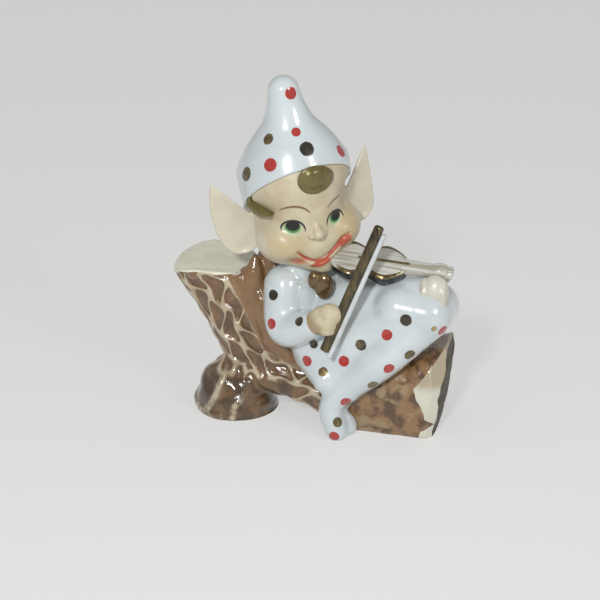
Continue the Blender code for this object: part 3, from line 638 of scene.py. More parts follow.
def makeHead():
    # the egg is fused and smoothed by itself first, so that the thin ears keep their edges. Each dent moves
    # points along their normals by -depth exp(-|(point - centre) / size|^2), and the mouth and lower lip
    # move them back and forth by a bell curve of the distance to their line
    h = head
    grids = [ballGrid(fromHead((0, h["skullBack"], h["skullUp"])), h["skull"], headTurn)]
    cheeks = [fromHead((side * h["cheekOut"], -4.4, -3.8)) for side in (-1, 1)]
    chin = fromHead((1.3, -9.4, -12.5))
    muzzle = fromHead((0, -7.6, -6.6))
    grids.append(limbGrid(cheeks, [h["cheek"], h["cheek"]]))
    grids += [limbGrid([cheek, chin], [0.97 * h["cheek"], h["chin"]]) for cheek in cheeks]
    grids += [limbGrid([cheek, muzzle], [0.97 * h["cheek"], 6.2]) for cheek in cheeks]
    grids.append(limbGrid([muzzle, fromHead((0, -3.0, 2.0))], [6.4, 11.4]))
    brow = [(*fromHead((0, 1.2 - 0.02 * z, z)), wide, 0.97 * wide)
            for z, wide in ((3, 14.6), (9, 15.8), (14.5, 15.8), (19, 14.0))]
    grids.append(tubeGrid(brow, towards=headTurn @ spot(0, -1, 0), around=60, bulge=0.2))
    egg = newPiece("egg", shellsOf(grids))
    fuse(egg, h["eggGrain"], h["eggSoftenings"])
    points, normals = readPoints(egg.data), readNormals(egg.data)
    for centre, size, depth in h["dents"]:
        away = np.sum(((toHead(points) - centre) / size) ** 2, axis=1)
        points = points - normals * (depth * np.exp(-away))[:, None]
    writePoints(egg.data, points)
    nose = limbGrid(fromHead([(0, -12.6, 2.2), (0, -13.5, 0.0), (0, -14.4, -1.8)]), [0.8, 1.2, h["nose"]])
    wings = limbGrid(fromHead([(-1.7, -13.7, -2.2), (1.7, -13.7, -2.2)]), [1.0, 1.0])
    shells = [takeShell(egg), shellOf(nose), shellOf(wings)] + [shellOf(earGrid(side)) for side in (-1, 1)]
    piece = newPiece("head", joinShells(shells))
    fuse(piece, h["grain"], h["softenings"])
    local = toHead(readPoints(piece.data))
    inFront = blendStep(-4.0, -7.0, local[:, 1])
    mouth = distanceToPath(local[:, [0, 2]], throughStops(h["mouth"], 40))
    lip = distanceToPath(local[:, [0, 2]], throughStops(h["lowerLip"], 30))
    local[:, 1] += inFront * (h["mouthDepth"] * bell(mouth, h["mouthWidth"])
                              - h["lipHeight"] * bell(lip, h["lipWidth"]))
    writePoints(piece.data, fromHead(local))
    piece.data.materials.append(makeSkin("paintedSkin", True))
    return piece


# Skin: cream, with the face painted on in head coordinates; each feature is laid over the ones before it

face = {
    "skin": srgb(198, 189, 163), "deep": srgb(180, 165, 131), "ear": srgb(200, 194, 173),
    # on the next line, cuff is painted shade where the hand meets the sleeve
    "pale": srgb(192, 192, 180), "blush": srgb(202, 150, 128), "cuff": srgb(150, 126, 88),
    # on the next line, the two cheek colours are painted shade
    "cheek": srgb(188, 170, 134), "farCheekShade": srgb(186, 167, 130), "eye": srgb(172, 184, 148),
    "iris": srgb(66, 130, 66), "pupil": srgb(8, 11, 10), "lash": srgb(26, 22, 18), "brow": srgb(122, 92, 62),
    "farBrow": srgb(122, 98, 72), "rouge": srgb(178, 100, 68), "grin": srgb(176, 84, 54),
    # on the next line, the last colour is a painted highlight on the lip
    "lip": srgb(172, 74, 46), "smile": srgb(164, 72, 46), "lipHighlight": srgb(214, 196, 180),
    "ovals": [  # centre x and z, half width and height, turn in degrees, edge and colour
        # the first two ovals are painted shade: darker cream on the near cheek by the jaw and on the far
        # cheek
        (-8.5, -4.0, 5.0, 4.0, 0, 0.6, "cheek"), (9.5, -3.0, 3.6, 4.6, 0, 0.6, "farCheekShade"),
        (-6.5, 1.0, 2.7, 2.0, 0, 0.35, "eye"), (-6.5, 1.25, 2.0, 1.75, 0, 0.16, "iris"),
        (-6.35, 1.75, 1.8, 1.6, 0, 0.10, "pupil"), (6.1, 0.8, 2.2, 2.0, 10, 0.35, "eye"),
        (6.25, 1.0, 1.75, 1.65, 10, 0.16, "iris"), (6.65, 1.35, 1.6, 1.55, 10, 0.10, "pupil"),
        (-6.6, -9.4, 2.4, 1.2, -15, 0.65, "rouge"), (7.8, -6.6, 2.4, 1.7, 25, 0.30, "grin"),
        (-0.3, -11.3, 3.2, 1.0, 12, 0.30, "lip"),
    ],
    "strokes": [  # three points x, z, half width and colour
        ((-9.3, 6.9), (-5.7, 7.9), (-1.2, 4.9), 0.36, "brow"),
        ((4.0, 4.8), (7.6, 6.4), (12.6, 3.8), 0.32, "farBrow"),
        ((-9.6, 0.6), (-6.5, 3.4), (-3.4, -0.4), 0.34, "lash"),
        ((3.3, -0.4), (6.3, 2.85), (9.2, -0.1), 0.34, "lash"),
        ((-6.4, -6.2), (-3.8, -9.2), (-0.6, -10.6), 0.42, "smile"),
        ((-1.6, -11.0), (3.2, -9.2), (7.4, -6.2), 0.48, "lip"),
        # a pale line over the lips: painted highlight
        ((-0.2, -10.2), (1.2, -9.9), (2.5, -9.3), 0.22, "lipHighlight"),
    ],
}


def arcThrough(first, middle, last):
    # the circle through three points of the (x, z) plane: centre, radius, direction of its middle, reach
    p, q, r = (np.array(point, dtype=float) for point in (first, middle, last))
    system = np.array([q - p, r - p])
    centre = np.linalg.solve(system, 0.5 * np.array([q @ q - p @ p, r @ r - p @ p]))
    towards = [unit(point - centre) for point in (p, r)]
    direction = unit(towards[0] + towards[1])
    if direction @ unit(q - centre) < 0:
        direction = -direction
    reach = math.acos(np.clip(direction @ towards[0], -1, 1))
    return centre, float(np.linalg.norm(p - centre)), direction, reach


def makeSkin(name, painted):
    # cloudy cream; painted lays the face's ovals and strokes over it, and otherwise the hands' tags are laid
    f = face
    material, tree, shader = newFinish(name, {"Coat Weight": 0.25, "Coat Roughness": 0.25})
    place = partCoordinates(tree, headMiddle + footing, headLean)
    colour = patchy(tree, place, f["skin"], f["deep"], 0.16, 0.56, 1.4)
    if painted:
        axes = addNode(tree, "SeparateXYZ", {"Vector": place}).outputs
        out = calc(tree, "ABSOLUTE", axes["X"])
        colour = lay(tree, ramp(tree, out, 13.0, 15.5), colour, f["ear"])
        features = []
        for x, z, wide, tall, turn, edge, paint in f["ovals"]:
            inputs = {"Centre": (x, 0, z), "Turn": math.radians(turn), "Size": (wide, 1, tall), "Edge": edge}
            features.append((ovalPatch, inputs, paint))
        for first, middle, last, half, paint in f["strokes"]:
            centre, radius, direction, reach = arcThrough(first, middle, last)
            inputs = {"Centre": (centre[0], 0, centre[1]), "Radius": radius, "Reach": reach,
                      "Middle": (direction[0], 0, direction[1]), "Half Width": half}
            features.append((arcStroke, inputs, paint))
        inFront = ramp(tree, axes["Y"], -5.0, -6.5)
        for group, inputs, paint in features:
            mask = useGroup(tree, group, {"Vector": place, **inputs})["Mask"]
            colour = lay(tree, calc(tree, "MULTIPLY", mask, inFront), colour, f[paint])
    else:
        colour = lay(tree, readTag(tree, "pale"), colour, f["pale"])
        # pink blush at the finger tips, and the cuff tag's painted shade: darker brown on the hand by the
        # sleeve
        for name, low, high, most in (("blush", 0.3, 1.0, 0.7), ("cuff", 0.7, 1.1, 0.75)):
            colour = lay(tree, ramp(tree, readTag(tree, name), low, high, most, 0.0), colour, f[name])
    tree.links.new(colour, shader["Base Color"])
    tree.links.new(ramp(tree, noise(tree, place, 0.5), 0.2, 0.8, 0.36, 0.50), shader["Roughness"])
    addBump(tree, shader, noise(tree, place, 0.8, 4.0), 0.02)
    return material


def takeShell(piece):
    # the points and faces of a piece that was only a step towards another one
    shell = readPoints(piece.data), [list(face.vertices) for face in piece.data.polygons]
    bpy.data.objects.remove(piece)
    return shell


# Ears: a leaf carried up from its lobe to its tip, cupped towards the front

ear = {"low": -8.6, "high": 14.6, "inner": 13.0, "outer": 24.0, "thick": 1.15, "cup": 1.7, "rootTop": 0.46,
       "tipOut": {-1: 0.6, 1: -0.9}, "lobeOut": {-1: 1.6, 1: -0.4}, "belly": {-1: 1.9, 1: 0.3}}


def earGrid(side):
    # at height z the leaf runs from its inner to its outer edge: point = middle + half cos(a) outwards
    # + thick sin(a) backwards, pushed back by cup (1 - cos^2) so that the front face is hollow
    e = ear
    t = np.linspace(0, 1, 60)
    z = e["low"] + (e["high"] - e["low"]) * t
    outer = e["outer"] - 0.9 * (1 - t) ** 2 + e["tipOut"][side] * t + 4 * e["belly"][side] * t * (1 - t)
    rise = np.clip((t - e["rootTop"]) / (1 - e["rootTop"]), 0, 1)
    inner = e["inner"] + (outer[-1] - 0.2 - e["inner"]) * rise**0.9
    ends = np.sqrt(np.clip(1 - (1 - np.clip(t / 0.22, 0, 1)) ** 2, 0, 1))
    middle = 0.5 * (inner + outer) + e["lobeOut"][side] * (1 - ends)
    half = np.maximum(0.5 * (outer - inner) * ends, 0.02)
    thick = e["thick"] * np.clip(half / 2.0, 0.05, 1.0)
    a = np.linspace(0, 2 * np.pi, 48, endpoint=False)
    x = middle[:, None] + half[:, None] * np.cos(a)
    back = 0.30 * (x - e["inner"]) - 0.5
    hollow = e["cup"] * np.minimum(half / 4.5, 1.0)[:, None] * (1 - np.cos(a) ** 2)
    y = back + hollow + thick[:, None] * np.sin(a)
    local = np.stack([side * x, y, np.broadcast_to(z[:, None], x.shape)], axis=-1)
    return fromHead(local)


print("body forms ready")


# Cap: flat rings stacked up the head, wide over the skull, hollow above it and round at the tip

cap = {
    "heights": (0.0, 8.4, 12.6, 15.8, 20.6, 23.5, 26.0, 28.7, 33.0, 37.4),
    "halfWidths": (15.9, 16.4, 16.6, 16.3, 13.7, 11.7, 9.6, 7.5, 5.6, 4.5),
    "top": 41.6, "brimMiddle": 7.5, "brimSlope": 0.79, "brimBack": -1.5, "edge": 0.3,
    "redDots": [(1.5, -4.5, 37.4, 1.75), (0.1, -8.1, 27.3, 1.35), (-9.2, -9.4, 20.4, 1.95),
                (12.3, -7.6, 18.2, 1.9)],
    "goldDots": [(-7.4, -5.1, 26.3, 1.65), (1.5, -11.3, 22.9, 2.1), (-15, -3.3, 17.2, 2.1)],
    # tones of the cap's given gold dots; the nearly black one is painted reflection
    "tonesAndReflections": (0.55, 0.04, 0.5), "spacing": 9.5,
}


def makeCap():
    # ring at height z: x = w(z) cos a, y = back(z) + 0.97 w(z) sin a. Its lower rim is the slanting
    # plane z = brimMiddle - brimSlope y, and no lower than brimBack, so the cap comes high over the brow and
    # low on the neck
    c = cap
    curve = throughStops(np.stack([c["heights"], c["halfWidths"]], axis=1), 400)
    shoulder = c["heights"][-1]

    def widthAt(z):
        dome = c["halfWidths"][-1] * np.sqrt(np.clip(1 - ((z - shoulder) / (c["top"] - shoulder)) ** 2, 0, 1))
        return np.where(z > shoulder, dome, np.interp(z, curve[:, 0], curve[:, 1]))

    def backAt(z):
        return 1.2 - 1.4 * blendStep(10, 34, z)

    a = np.linspace(0, 2 * np.pi, 112, endpoint=False)[None]
    low = np.full_like(a, 8.0)
    for _ in range(30):  # where the ring's own side meets the slanting plane
        plane = c["brimMiddle"] - c["brimSlope"] * (backAt(low) + 0.97 * widthAt(low) * np.sin(a))
        low = 0.5 * low + 0.5 * np.maximum(plane, c["brimBack"])
    nearTip = 0.86 + 0.14 * np.sin(np.linspace(0, np.pi / 2, 14)[1:])
    t = np.concatenate([np.linspace(0, 0.86, 90), nearTip])[:, None]
    z = low + (c["top"] - low) * t
    z[-1] = c["top"]
    w = widthAt(z)
    x, y = w * np.cos(a) + 0.6 * blendStep(18, 38, z), backAt(z) + 0.97 * w * np.sin(a)
    outer = np.stack([x, y, z], axis=-1)
    roll = np.linspace(0, np.pi, 7)[:-1, None]  # the rim's rolled edge, then a disc inside the head
    middle = np.array([0, 0.8, 7.0])
    inwards = unit(middle - outer[:1])
    rim = outer[:1] + c["edge"] * (inwards * (1 + np.cos(roll))[..., None]
                                   + np.array([0, 0, -0.7]) * np.sin(roll)[..., None])
    inner = middle + (rim[:1] - middle) * np.array([0.02, 0.5, 0.9])[:, None, None]
    piece = newPiece("cap", shellOf(fromHead(np.concatenate([inner, rim, outer]))))
    red, gold = ([(fromHead(place), radius) for *place, radius in c[dots]]
                 for dots in ("redDots", "goldDots"))
    tagDots(piece, red, gold, c["tonesAndReflections"], c["spacing"],
            lambda p, n: (n @ viewSide < -0.1) & (toHead(p)[:, 2] > 9))
    piece.data.materials.append(dottedGlaze)
    return piece


# Hair: a curled lock on the brow and one at the temple

hair = {
    "brow": (2.2, 14.4), "browSize": (5.7, 4.1), "turn": 9, "thick": 1.3, "curl": 0.5, "skull": 15.8,
    "temple": [((-14.2, -3.6, 11.4), 0.5), ((-15.0, -2.6, 8.4), 1.3), ((-14.2, -5.4, 6.7), 1.7),
               ((-12.5, -7.8, 6.0), 1.1), ((-11.2, -9.2, 5.7), 0.4)],  # place and half width
    "templeThick": 1.4, "gold": srgb(106, 98, 42),
}


def makeGiltGlaze(name, scale, tone, stretch, metal, tint):
    # brushed gold; stretch squeezes the clouds into streaks along the axes with small values, and metal is
    # the least and most metallic share
    material, tree, shader = newFinish(name, {"Coat Weight": 0.6, "Coat Roughness": 0.08})
    place = vectorCalc(tree, "MULTIPLY", partCoordinates(tree), stretch)
    leaf = useGroup(tree, gilding, {"Vector": place, "Scale": scale, "Tone": tone})
    tree.links.new(lay(tree, 0.6, leaf["Color"], tint), shader["Base Color"])
    tree.links.new(leaf["Roughness"], shader["Roughness"])
    tree.links.new(ramp(tree, noise(tree, place, 0.3), 0.2, 0.8, *metal), shader["Metallic"])
    addBump(tree, shader, noise(tree, place, 0.8, 2.0), 0.03)
    return material


def makeLocks():
    # the brow lock is an egg-shaped patch on the round of the brow, y = -0.97 sqrt(skull^2 - x^2), that
    # stands thick sqrt(1 - r^2) proud, scaled by 1 + curl cos(angle + 7 r), a spiral groove;
    # the temple lock is a crescent, a flat tube thickest in its middle
    h = hair
    r = np.concatenate([np.linspace(0.02, 0.7, 26), np.sin(np.linspace(0.8, np.pi / 2, 14))])[:, None]
    v = np.linspace(0, 2 * np.pi, 90, endpoint=False)[None]
    turn = math.radians(h["turn"])
    u, w = r * np.cos(v) * h["browSize"][0], r * np.sin(v) * h["browSize"][1] * (1 - 0.16 * np.cos(v))
    x = h["brow"][0] + u * math.cos(turn) + w * math.sin(turn)
    z = h["brow"][1] - u * math.sin(turn) + w * math.cos(turn)
    surface = 1.0 - 0.97 * np.sqrt(h["skull"] ** 2 - x**2)
    swell = np.sqrt(np.clip(1 - r**2, 0, 1)) * (1 + h["curl"] * np.cos(v + 7 * r) * r * (1 - r**4))
    front = np.stack([x, surface - h["thick"] * swell, z], axis=-1)
    behind = np.stack([x, surface + 1.2 * np.sqrt(np.clip(1 - r**2, 0, 1)) + 0.05, z], axis=-1)
    brow = fromHead(np.concatenate([front, behind[::-1]]))
    temple = tubeGrid([(*fromHead(place), wide, h["templeThick"]) for place, wide in h["temple"]],
                      towards=fromHead((-1, -0.6, 0)) - headMiddle)
    locks = []
    gilt = makeGiltGlaze("giltHair", 0.4, 0.44, (0.6, 1.2, 0.6), (0.15, 0.35), h["gold"])
    for name, grid in (("browLock", brow), ("templeLock", temple)):
        locks.append(newPiece(name, shellOf(grid)))
        locks[-1].data.materials.append(gilt)
    return locks


# Tree: stump, root, bridge and log

tree = {
    "grain": 0.45, "softenings": 11, "endSoftenings": 3,
    "root": [(-13.0, -1.0, 20.0, 7.6, 8.8), (-17.0, -2.4, 12.0, 9.2, 10.4), (-20.0, -3.8, 5.0, 12.6, 12.6),
             (-20.5, -4.0, -3.0, 13.0, 12.9)],  # x, y, z, half width and half depth
    "log": [(12.0, 0.0, 6.3, 9.9, 14.3), (28.3, 0.0, 8.5, 13.4, 14.7), (44.2, 0.0, 10.4, 16.3, 14.86)],
    "splinter": [(-14.6, -6.6, 39, 4.6, 3.4), (-13.9, -6.4, 45.4, 3.0, 2.4), (-13.4, -6.0, 50.4, 0.9, 0.8)],
    "logLean": 0.23, "farEndShrink": 0.945,
    "scoopLength": 13.5, "scoopWidth": 6.4, "scoopDepth": 1.2, "stripFrom": 20, "stripTo": 36,
    "veinWidth": 1.2, "veinHeight": 0.8, "knotDepth": 0.45, "knotHeight": 0.1,
    "endCuts": [(38, 22, (45.6, -15, 22.8), 4.6), (50, -6, (45.6, -15, 8), 3.3)],  # turn, rise, corner, depth
    "brown": srgb(122, 92, 60), "umber": srgb(84, 59, 35), "tan": srgb(136, 102, 67),
    "cream": srgb(186, 173, 146), "stain": srgb(148, 126, 92), "dark": srgb(66, 52, 32),
    "wood": srgb(234, 231, 211), "woodDeep": srgb(216, 210, 184),
    # on the next line, side is painted shade for the log's end face that turns away to +X
    "endWood": srgb(205, 202, 186), "endShade": srgb(174, 162, 136), "side": srgb(70, 60, 42),
    "veins": [[(-22.1, -7.9, 15.8), (-21.8, -12.7, 12.9), (-23.8, -15.5, 7.5), (-27.0, -15.0, 1.5)],
              [(-15.8, -12.2, 11.6), (-15.2, -13.4, 7.5), (-17.4, -16.2, 5.2), (-18.6, -16.6, 1.0)],
              [(-32.8, -6.0, 3.4), (-30.8, -11.0, 1.8), (-27.0, -15.0, 1.0), (-22.0, -16.6, 0.8)]],
    "endHeights": (0.0, 2.3, 4.4, 6.5, 8.6, 10.5, 12.9, 15.9, 19.8, 22.1, 23.7, 27.0),
    "endEdge": (38.5, 39.1, 42.9, 40.3, 39.8, 39.2, 37.6, 36.6, 39.6, 40.8, 42.4, 44.5),
}

trunkStops = [  # x, y, z, half width, half depth and squareness, down the tree's own line
    (-30.9, 0.2, 51.5, 12.7, 12.7, 2.2), (-27.6, 0.0, 45.0, 12.5, 12.5, 2.2),
    (-21.5, -0.4, 33.7, 10.9, 11.7, 2.2), (-13.4, -1.0, 17.5, 8.9, 11.2, 2.5),
    (0.8, -1.0, 11.2, 6.2, 13.0, 3.0), (11.0, -1.0, 9.1, 8.1, 14.0, 3.0),
]


def brokenTop(x, y):
    # height of the torn wood: the lower of two tilted planes, which meet in a fold, and a lip in front
    lip = 3.0 * blendStep(-5.5, -11.5, y)
    return lip + np.minimum(45.9 + 0.20 * y + 0.17 * (x + 30), 45.4 + 0.18 * y - 0.02 * (x + 28))


def clampBehind(points, place, out, where):
    # points beyond the plane through place move straight back onto it
    beyond = np.clip((points - place) @ out, 0, None) * where
    return points - beyond[:, None] * out


def trunkCoordinates(points):
    # how far down the tree's line a point lies, its angle round the line (0 in front, positive to the
    # elf's side), both from the nearest span
    line = np.array(trunkStops)[:, :3]
    best = np.full(len(points), 1e9)
    along, angle, start = np.zeros(len(points)), np.zeros(len(points)), 0.0
    for a, b in zip(line[:-1], line[1:]):
        step, length = b - a, np.linalg.norm(b - a)
        share = np.clip((points - a) @ step / length**2, 0, 1)
        offset = points - a - share[:, None] * step
        distance = np.linalg.norm(offset, axis=1)
        side = unit(np.cross(step, (0.0, 1.0, 0.0)))
        nearer = distance < best
        best = np.where(nearer, distance, best)
        along = np.where(nearer, start + share * length, along)
        angle = np.where(nearer, np.arctan2(offset @ side, -offset[:, 1]), angle)
        start += length
    return along, angle


def makeTree():
    # the union of flattened tubes, cut off at brokenTop and fused. Points then sink along their normals by
    # scoopDepth (1 - ridge) on the bark, rise by veinHeight exp(-(distance / veinWidth)^2) along the root's
    # veins, and dent by a product of sines on the log and the root; two planes hew the log's corners
    t = tree
    trunk = tubeGrid(trunkStops, along=60, around=72, bulge=0.3)
    trunk[..., 2] = np.minimum(trunk[..., 2], brokenTop(trunk[..., 0], trunk[..., 1]))
    root = tubeGrid(t["root"], around=60, bulge=0.3)
    log = tubeGrid(t["log"], around=80, square=3.6, bulge=0.12)
    log[..., 0] += t["logLean"] * (log[..., 2] - 16) * blendStep(25, 44, log[..., 0])
    splinter = tubeGrid(t["splinter"])
    backRest = limbGrid([spot(-9.8, -0.6, 48.0), spot(-4, -2, 34), hip], [4.6, 6.5, 5.0])
    frontRest = limbGrid([spot(-15.5, -5.0, 43.0), spot(-8, -6, 30), spot(-4, -5, 18), spot(6, -5, 12)],
                         [3.8, 5.8, 6.2, 6.0])
    crotch = limbGrid([spot(-20, -2, 14), spot(-9, -2, 15)], [5.5, 5.0])
    piece = newPiece("tree", shellsOf([trunk, root, log, splinter, backRest, frontRest, crotch]))
    fuse(piece, t["grain"], t["softenings"])
    points, normals = readPoints(piece.data), readNormals(piece.data)
    ridge, strip = barkRidges(points)
    onRoot = blendStep(15, 11, points[:, 2]) * blendStep(2, -4, points[:, 0])
    away = np.min([distanceToPath(points, throughStops(path, 16)) for path in t["veins"]], axis=0)
    vein = bell(away, t["veinWidth"]) * blendStep(-5, -8, points[:, 1])
    knots = np.sin(0.62 * points[:, 0] + 0.8 * np.sin(0.5 * points[:, 2]))
    knots = knots * np.sin(0.58 * points[:, 2] + 0.9 * np.sin(0.4 * points[:, 0]) + 1.0)
    knots = t["knotDepth"] * knots * np.maximum(blendStep(12, 18, points[:, 0]), onRoot)
    knots = knots * blendStep(-0.5, 1.0, points[:, 2])
    scoops = t["scoopDepth"] * (1 - ridge) * (1 - onRoot)
    sink = scoops - t["veinHeight"] * vein + np.maximum(knots, -t["knotHeight"])
    points = points - normals * sink[:, None]
    points[:, 0] = np.where(points[:, 0] < -35, -35 + t["farEndShrink"] * (points[:, 0] + 35), points[:, 0])
    torn = points[:, 2] - brokenTop(points[:, 0], points[:, 1])
    hewn = blendStep(-1.0, -0.2, torn) * blendStep(1.4, 0.6, torn) * (points[:, 0] < -8)
    hewn *= 1 - blendStep(-18.2, -17.2, points[:, 0]) * blendStep(-2.5, -4.0, points[:, 1])
    hewn *= blendStep(-12.6, -11.6, points[:, 1]) + blendStep(-20, -34, points[:, 0]) * 0.4
    for turn, rise, corner, cut in t["endCuts"]:
        out = heading(turn, rise)
        place = np.array(corner) - cut * out
        points = clampBehind(points, place, out, points[:, 0] > 25)
    endEdge = np.interp(points[:, 2], t["endHeights"], t["endEdge"])
    hewn = np.maximum(hewn, blendStep(-0.4, 0.4, points[:, 0] - endEdge) * (points[:, 0] > 25))
    writePoints(piece.data, points)
    soften(piece, t["endSoftenings"])
    points = readPoints(piece.data)
    points[:, 2] = np.where(points[:, 2] < 0.2, 0.0, points[:, 2])
    writePoints(piece.data, points)
    # painted shade: where the log's end face turns to +X it is tagged to be laid dark
    side = blendStep(0.80, 0.95, readNormals(piece.data)[:, 0]) * (points[:, 0] > 38)
    for name, values in (("ridge", ridge * (1 - onRoot)), ("vein", vein), ("side", side), ("strip", strip),
                         ("hewn", hewn), ("log", blendStep(9, 14, points[:, 0])), ("root", onRoot)):
        tag(piece, name, values)
    piece.data.materials.append(makeBark())
    return piece


def makeBark():
    # brown in the scoops and on the smooth strip, cream on the ridges between them and on hewn wood
    t = tree
    material, nodes, shader = newFinish("barkGlaze", {"Coat Roughness": 0.06})
    place = partCoordinates(nodes)

    def edged(name, low, high, waver, scale):
        shift = calc(nodes, "MULTIPLY_ADD", noise(nodes, place, scale, 3.0), waver, readTag(nodes, name))
        return ramp(nodes, shift, low + 0.5 * waver, high + 0.5 * waver)

    scoop = patchy(nodes, place, t["brown"], t["umber"], 0.22, 0.5, 2.4)
    smooth = patchy(nodes, place, t["tan"], t["brown"], 0.13, 0.5, 2.0)
    ridges = patchy(nodes, place, t["cream"], t["stain"], 0.2, 0.6, 2.0)
    logSkin = patchy(nodes, place, t["umber"], t["tan"], 0.2, 0.48, 6.0)
    bare = ramp(nodes, noise(nodes, place, 0.13, 2.0, 0.8), 0.55, 0.64, 0.0, 0.9)
    logSkin = lay(nodes, bare, logSkin, t["stain"])
    colour = lay(nodes, edged("ridge", 0.26, 0.78, 0.5, 0.4), scoop, ridges)
    colour = lay(nodes, edged("strip", 0.4, 0.7, 0.3, 0.3), colour, smooth)
    colour = lay(nodes, edged("log", 0.3, 0.7, 0.5, 0.2), colour, logSkin)
    murk = ramp(nodes, noise(nodes, place, 0.22, 3.0, 0.6), 0.35, 0.65, 0.25, 0.85)
    rootTone = lay(nodes, murk, colour, t["dark"])
    colour = lay(nodes, edged("root", 0.3, 0.8, 0.5, 0.2), colour, rootTone)
    broken = ramp(nodes, noise(nodes, place, 0.35, 2.0), 0.38, 0.60, 0.15, 0.9)
    veins = calc(nodes, "MULTIPLY", edged("vein", 0.25, 0.85, 0.7, 0.5), broken)
    colour = lay(nodes, veins, colour, t["cream"])
    wood = patchy(nodes, place, t["wood"], t["woodDeep"], 0.1, 0.6, 1.6)
    axes = addNode(nodes, "SeparateXYZ", {"Vector": place}).outputs
    onEnd = ramp(nodes, axes["X"], 20.0, 30.0)
    upperEnd = calc(nodes, "MULTIPLY", onEnd, ramp(nodes, axes["Z"], 15.0, 18.0))
    wood = lay(nodes, onEnd, wood, t["endWood"])
    wood = lay(nodes, upperEnd, wood, t["endShade"])
    colour = lay(nodes, edged("hewn", 0.4, 0.6, 0.5, 0.35), colour, wood)
    # painted shade: the log's end face that turns away to +X is laid dark olive
    colour = lay(nodes, edged("side", 0.4, 0.7, 0.3, 0.3), colour, t["side"])
    nodes.links.new(colour, shader["Base Color"])
    # the same shaded end face is made rougher and nearly without coat
    side = readTag(nodes, "side")
    rough = ramp(nodes, noise(nodes, place, 0.25), 0.3, 0.7, 0.16, 0.30)
    nodes.links.new(calc(nodes, "MULTIPLY_ADD", side, 0.45, rough), shader["Roughness"])
    nodes.links.new(calc(nodes, "MULTIPLY_ADD", side, -0.75, 0.8), shader["Coat Weight"])
    addBump(nodes, shader, noise(nodes, place, 0.30, 3.0), 0.35)
    return material


def barkRidges(points):
    # 1 on the net of ridges, 0 in the scoops: two staggered sets of almonds along the trunk, with
    # |across|^1.4 + |along|^1.6 below a limit inside each, and no scoops on the smooth strip by the elf
    t = tree
    along, angle = trunkCoordinates(points)
    across = angle * 11.0
    across = across + 1.3 * np.sin(0.27 * along + 0.8) + 0.6 * np.sin(0.71 * along + 2.0)
    along = along + 1.6 * np.sin(0.45 * across + 1.0) + 0.8 * np.sin(1.1 * across)
    u, v = across / t["scoopWidth"], along / t["scoopLength"]
    lows = []
    for shift in (0.0, 0.5):
        du = np.abs(u + shift - np.round(u + shift)) * 2
        dv = np.abs(v + shift - np.round(v + shift)) * 2
        lows.append(du**1.4 + dv**1.6)
    near = np.minimum(*lows)
    ridge = blendStep(0.40, 0.80, near)
    degrees = np.degrees(angle)
    strip = blendStep(t["stripFrom"], t["stripTo"], degrees)
    strip = np.maximum(strip, blendStep(-35, -20, degrees) * blendStep(-9, -5, -along))
    ridge = np.maximum(ridge, strip)
    onLog = blendStep(10, 14, points[:, 0])
    top = blendStep(-1.6, -0.6, points[:, 2] - brokenTop(points[:, 0], points[:, 1])) * (points[:, 0] < -8)
    return np.maximum(np.maximum(ridge, onLog), top), strip


# Violin: body, neck and scroll

violin = {
    "body": 23.6, "lower": 12.6, "waist": 8.8, "upper": 12.6, "ribs": 3.0, "arch": 0.9,
    "neck": 8.7, "neckWidth": 4.4, "scrollWide": 4.8, "lip": 0.35,
    "rimGold": (2.5, 4.0, 21.4, 22.8), "stringGold": (8.2, 9.2, 23.2, 24.2),  # from, full, fading, to
    "white": srgb(194, 194, 186), "shade": srgb(160, 152, 134), "black": srgb(20, 25, 31),
}

violinAlong = heading(-5, -5.5)
violinAcross = unit(np.cross(heading(90, 60), violinAlong))
violinOut = np.cross(violinAlong, violinAcross)
violinTail = headMiddle + spot(9.6, -6.3, -10.0)
violinTurn = np.stack([violinAlong, violinAcross, violinOut], axis=1)
neckEnd = violin["body"] + violin["neck"]


def fromViolin(local):
    # violin coordinates (x from tail to scroll, y across, z out of the top plate) to the figurine's own
    return violinTail + np.asarray(local, dtype=float) @ violinTurn.T


def violinHalfWidth(share):
    # half width along the body: two bouts in one rounded outline, drawn in to the waist by a bell curve
    v = violin
    bout = v["lower"] + (v["upper"] - v["lower"]) * share
    waist = (bout - v["waist"]) * bell(share - 0.49, 0.13)
    ends = np.minimum(1.0, 1.12 * np.sqrt(np.sin(np.pi * np.clip(share, 0, 1))))
    return 0.5 * (bout * ends - waist)


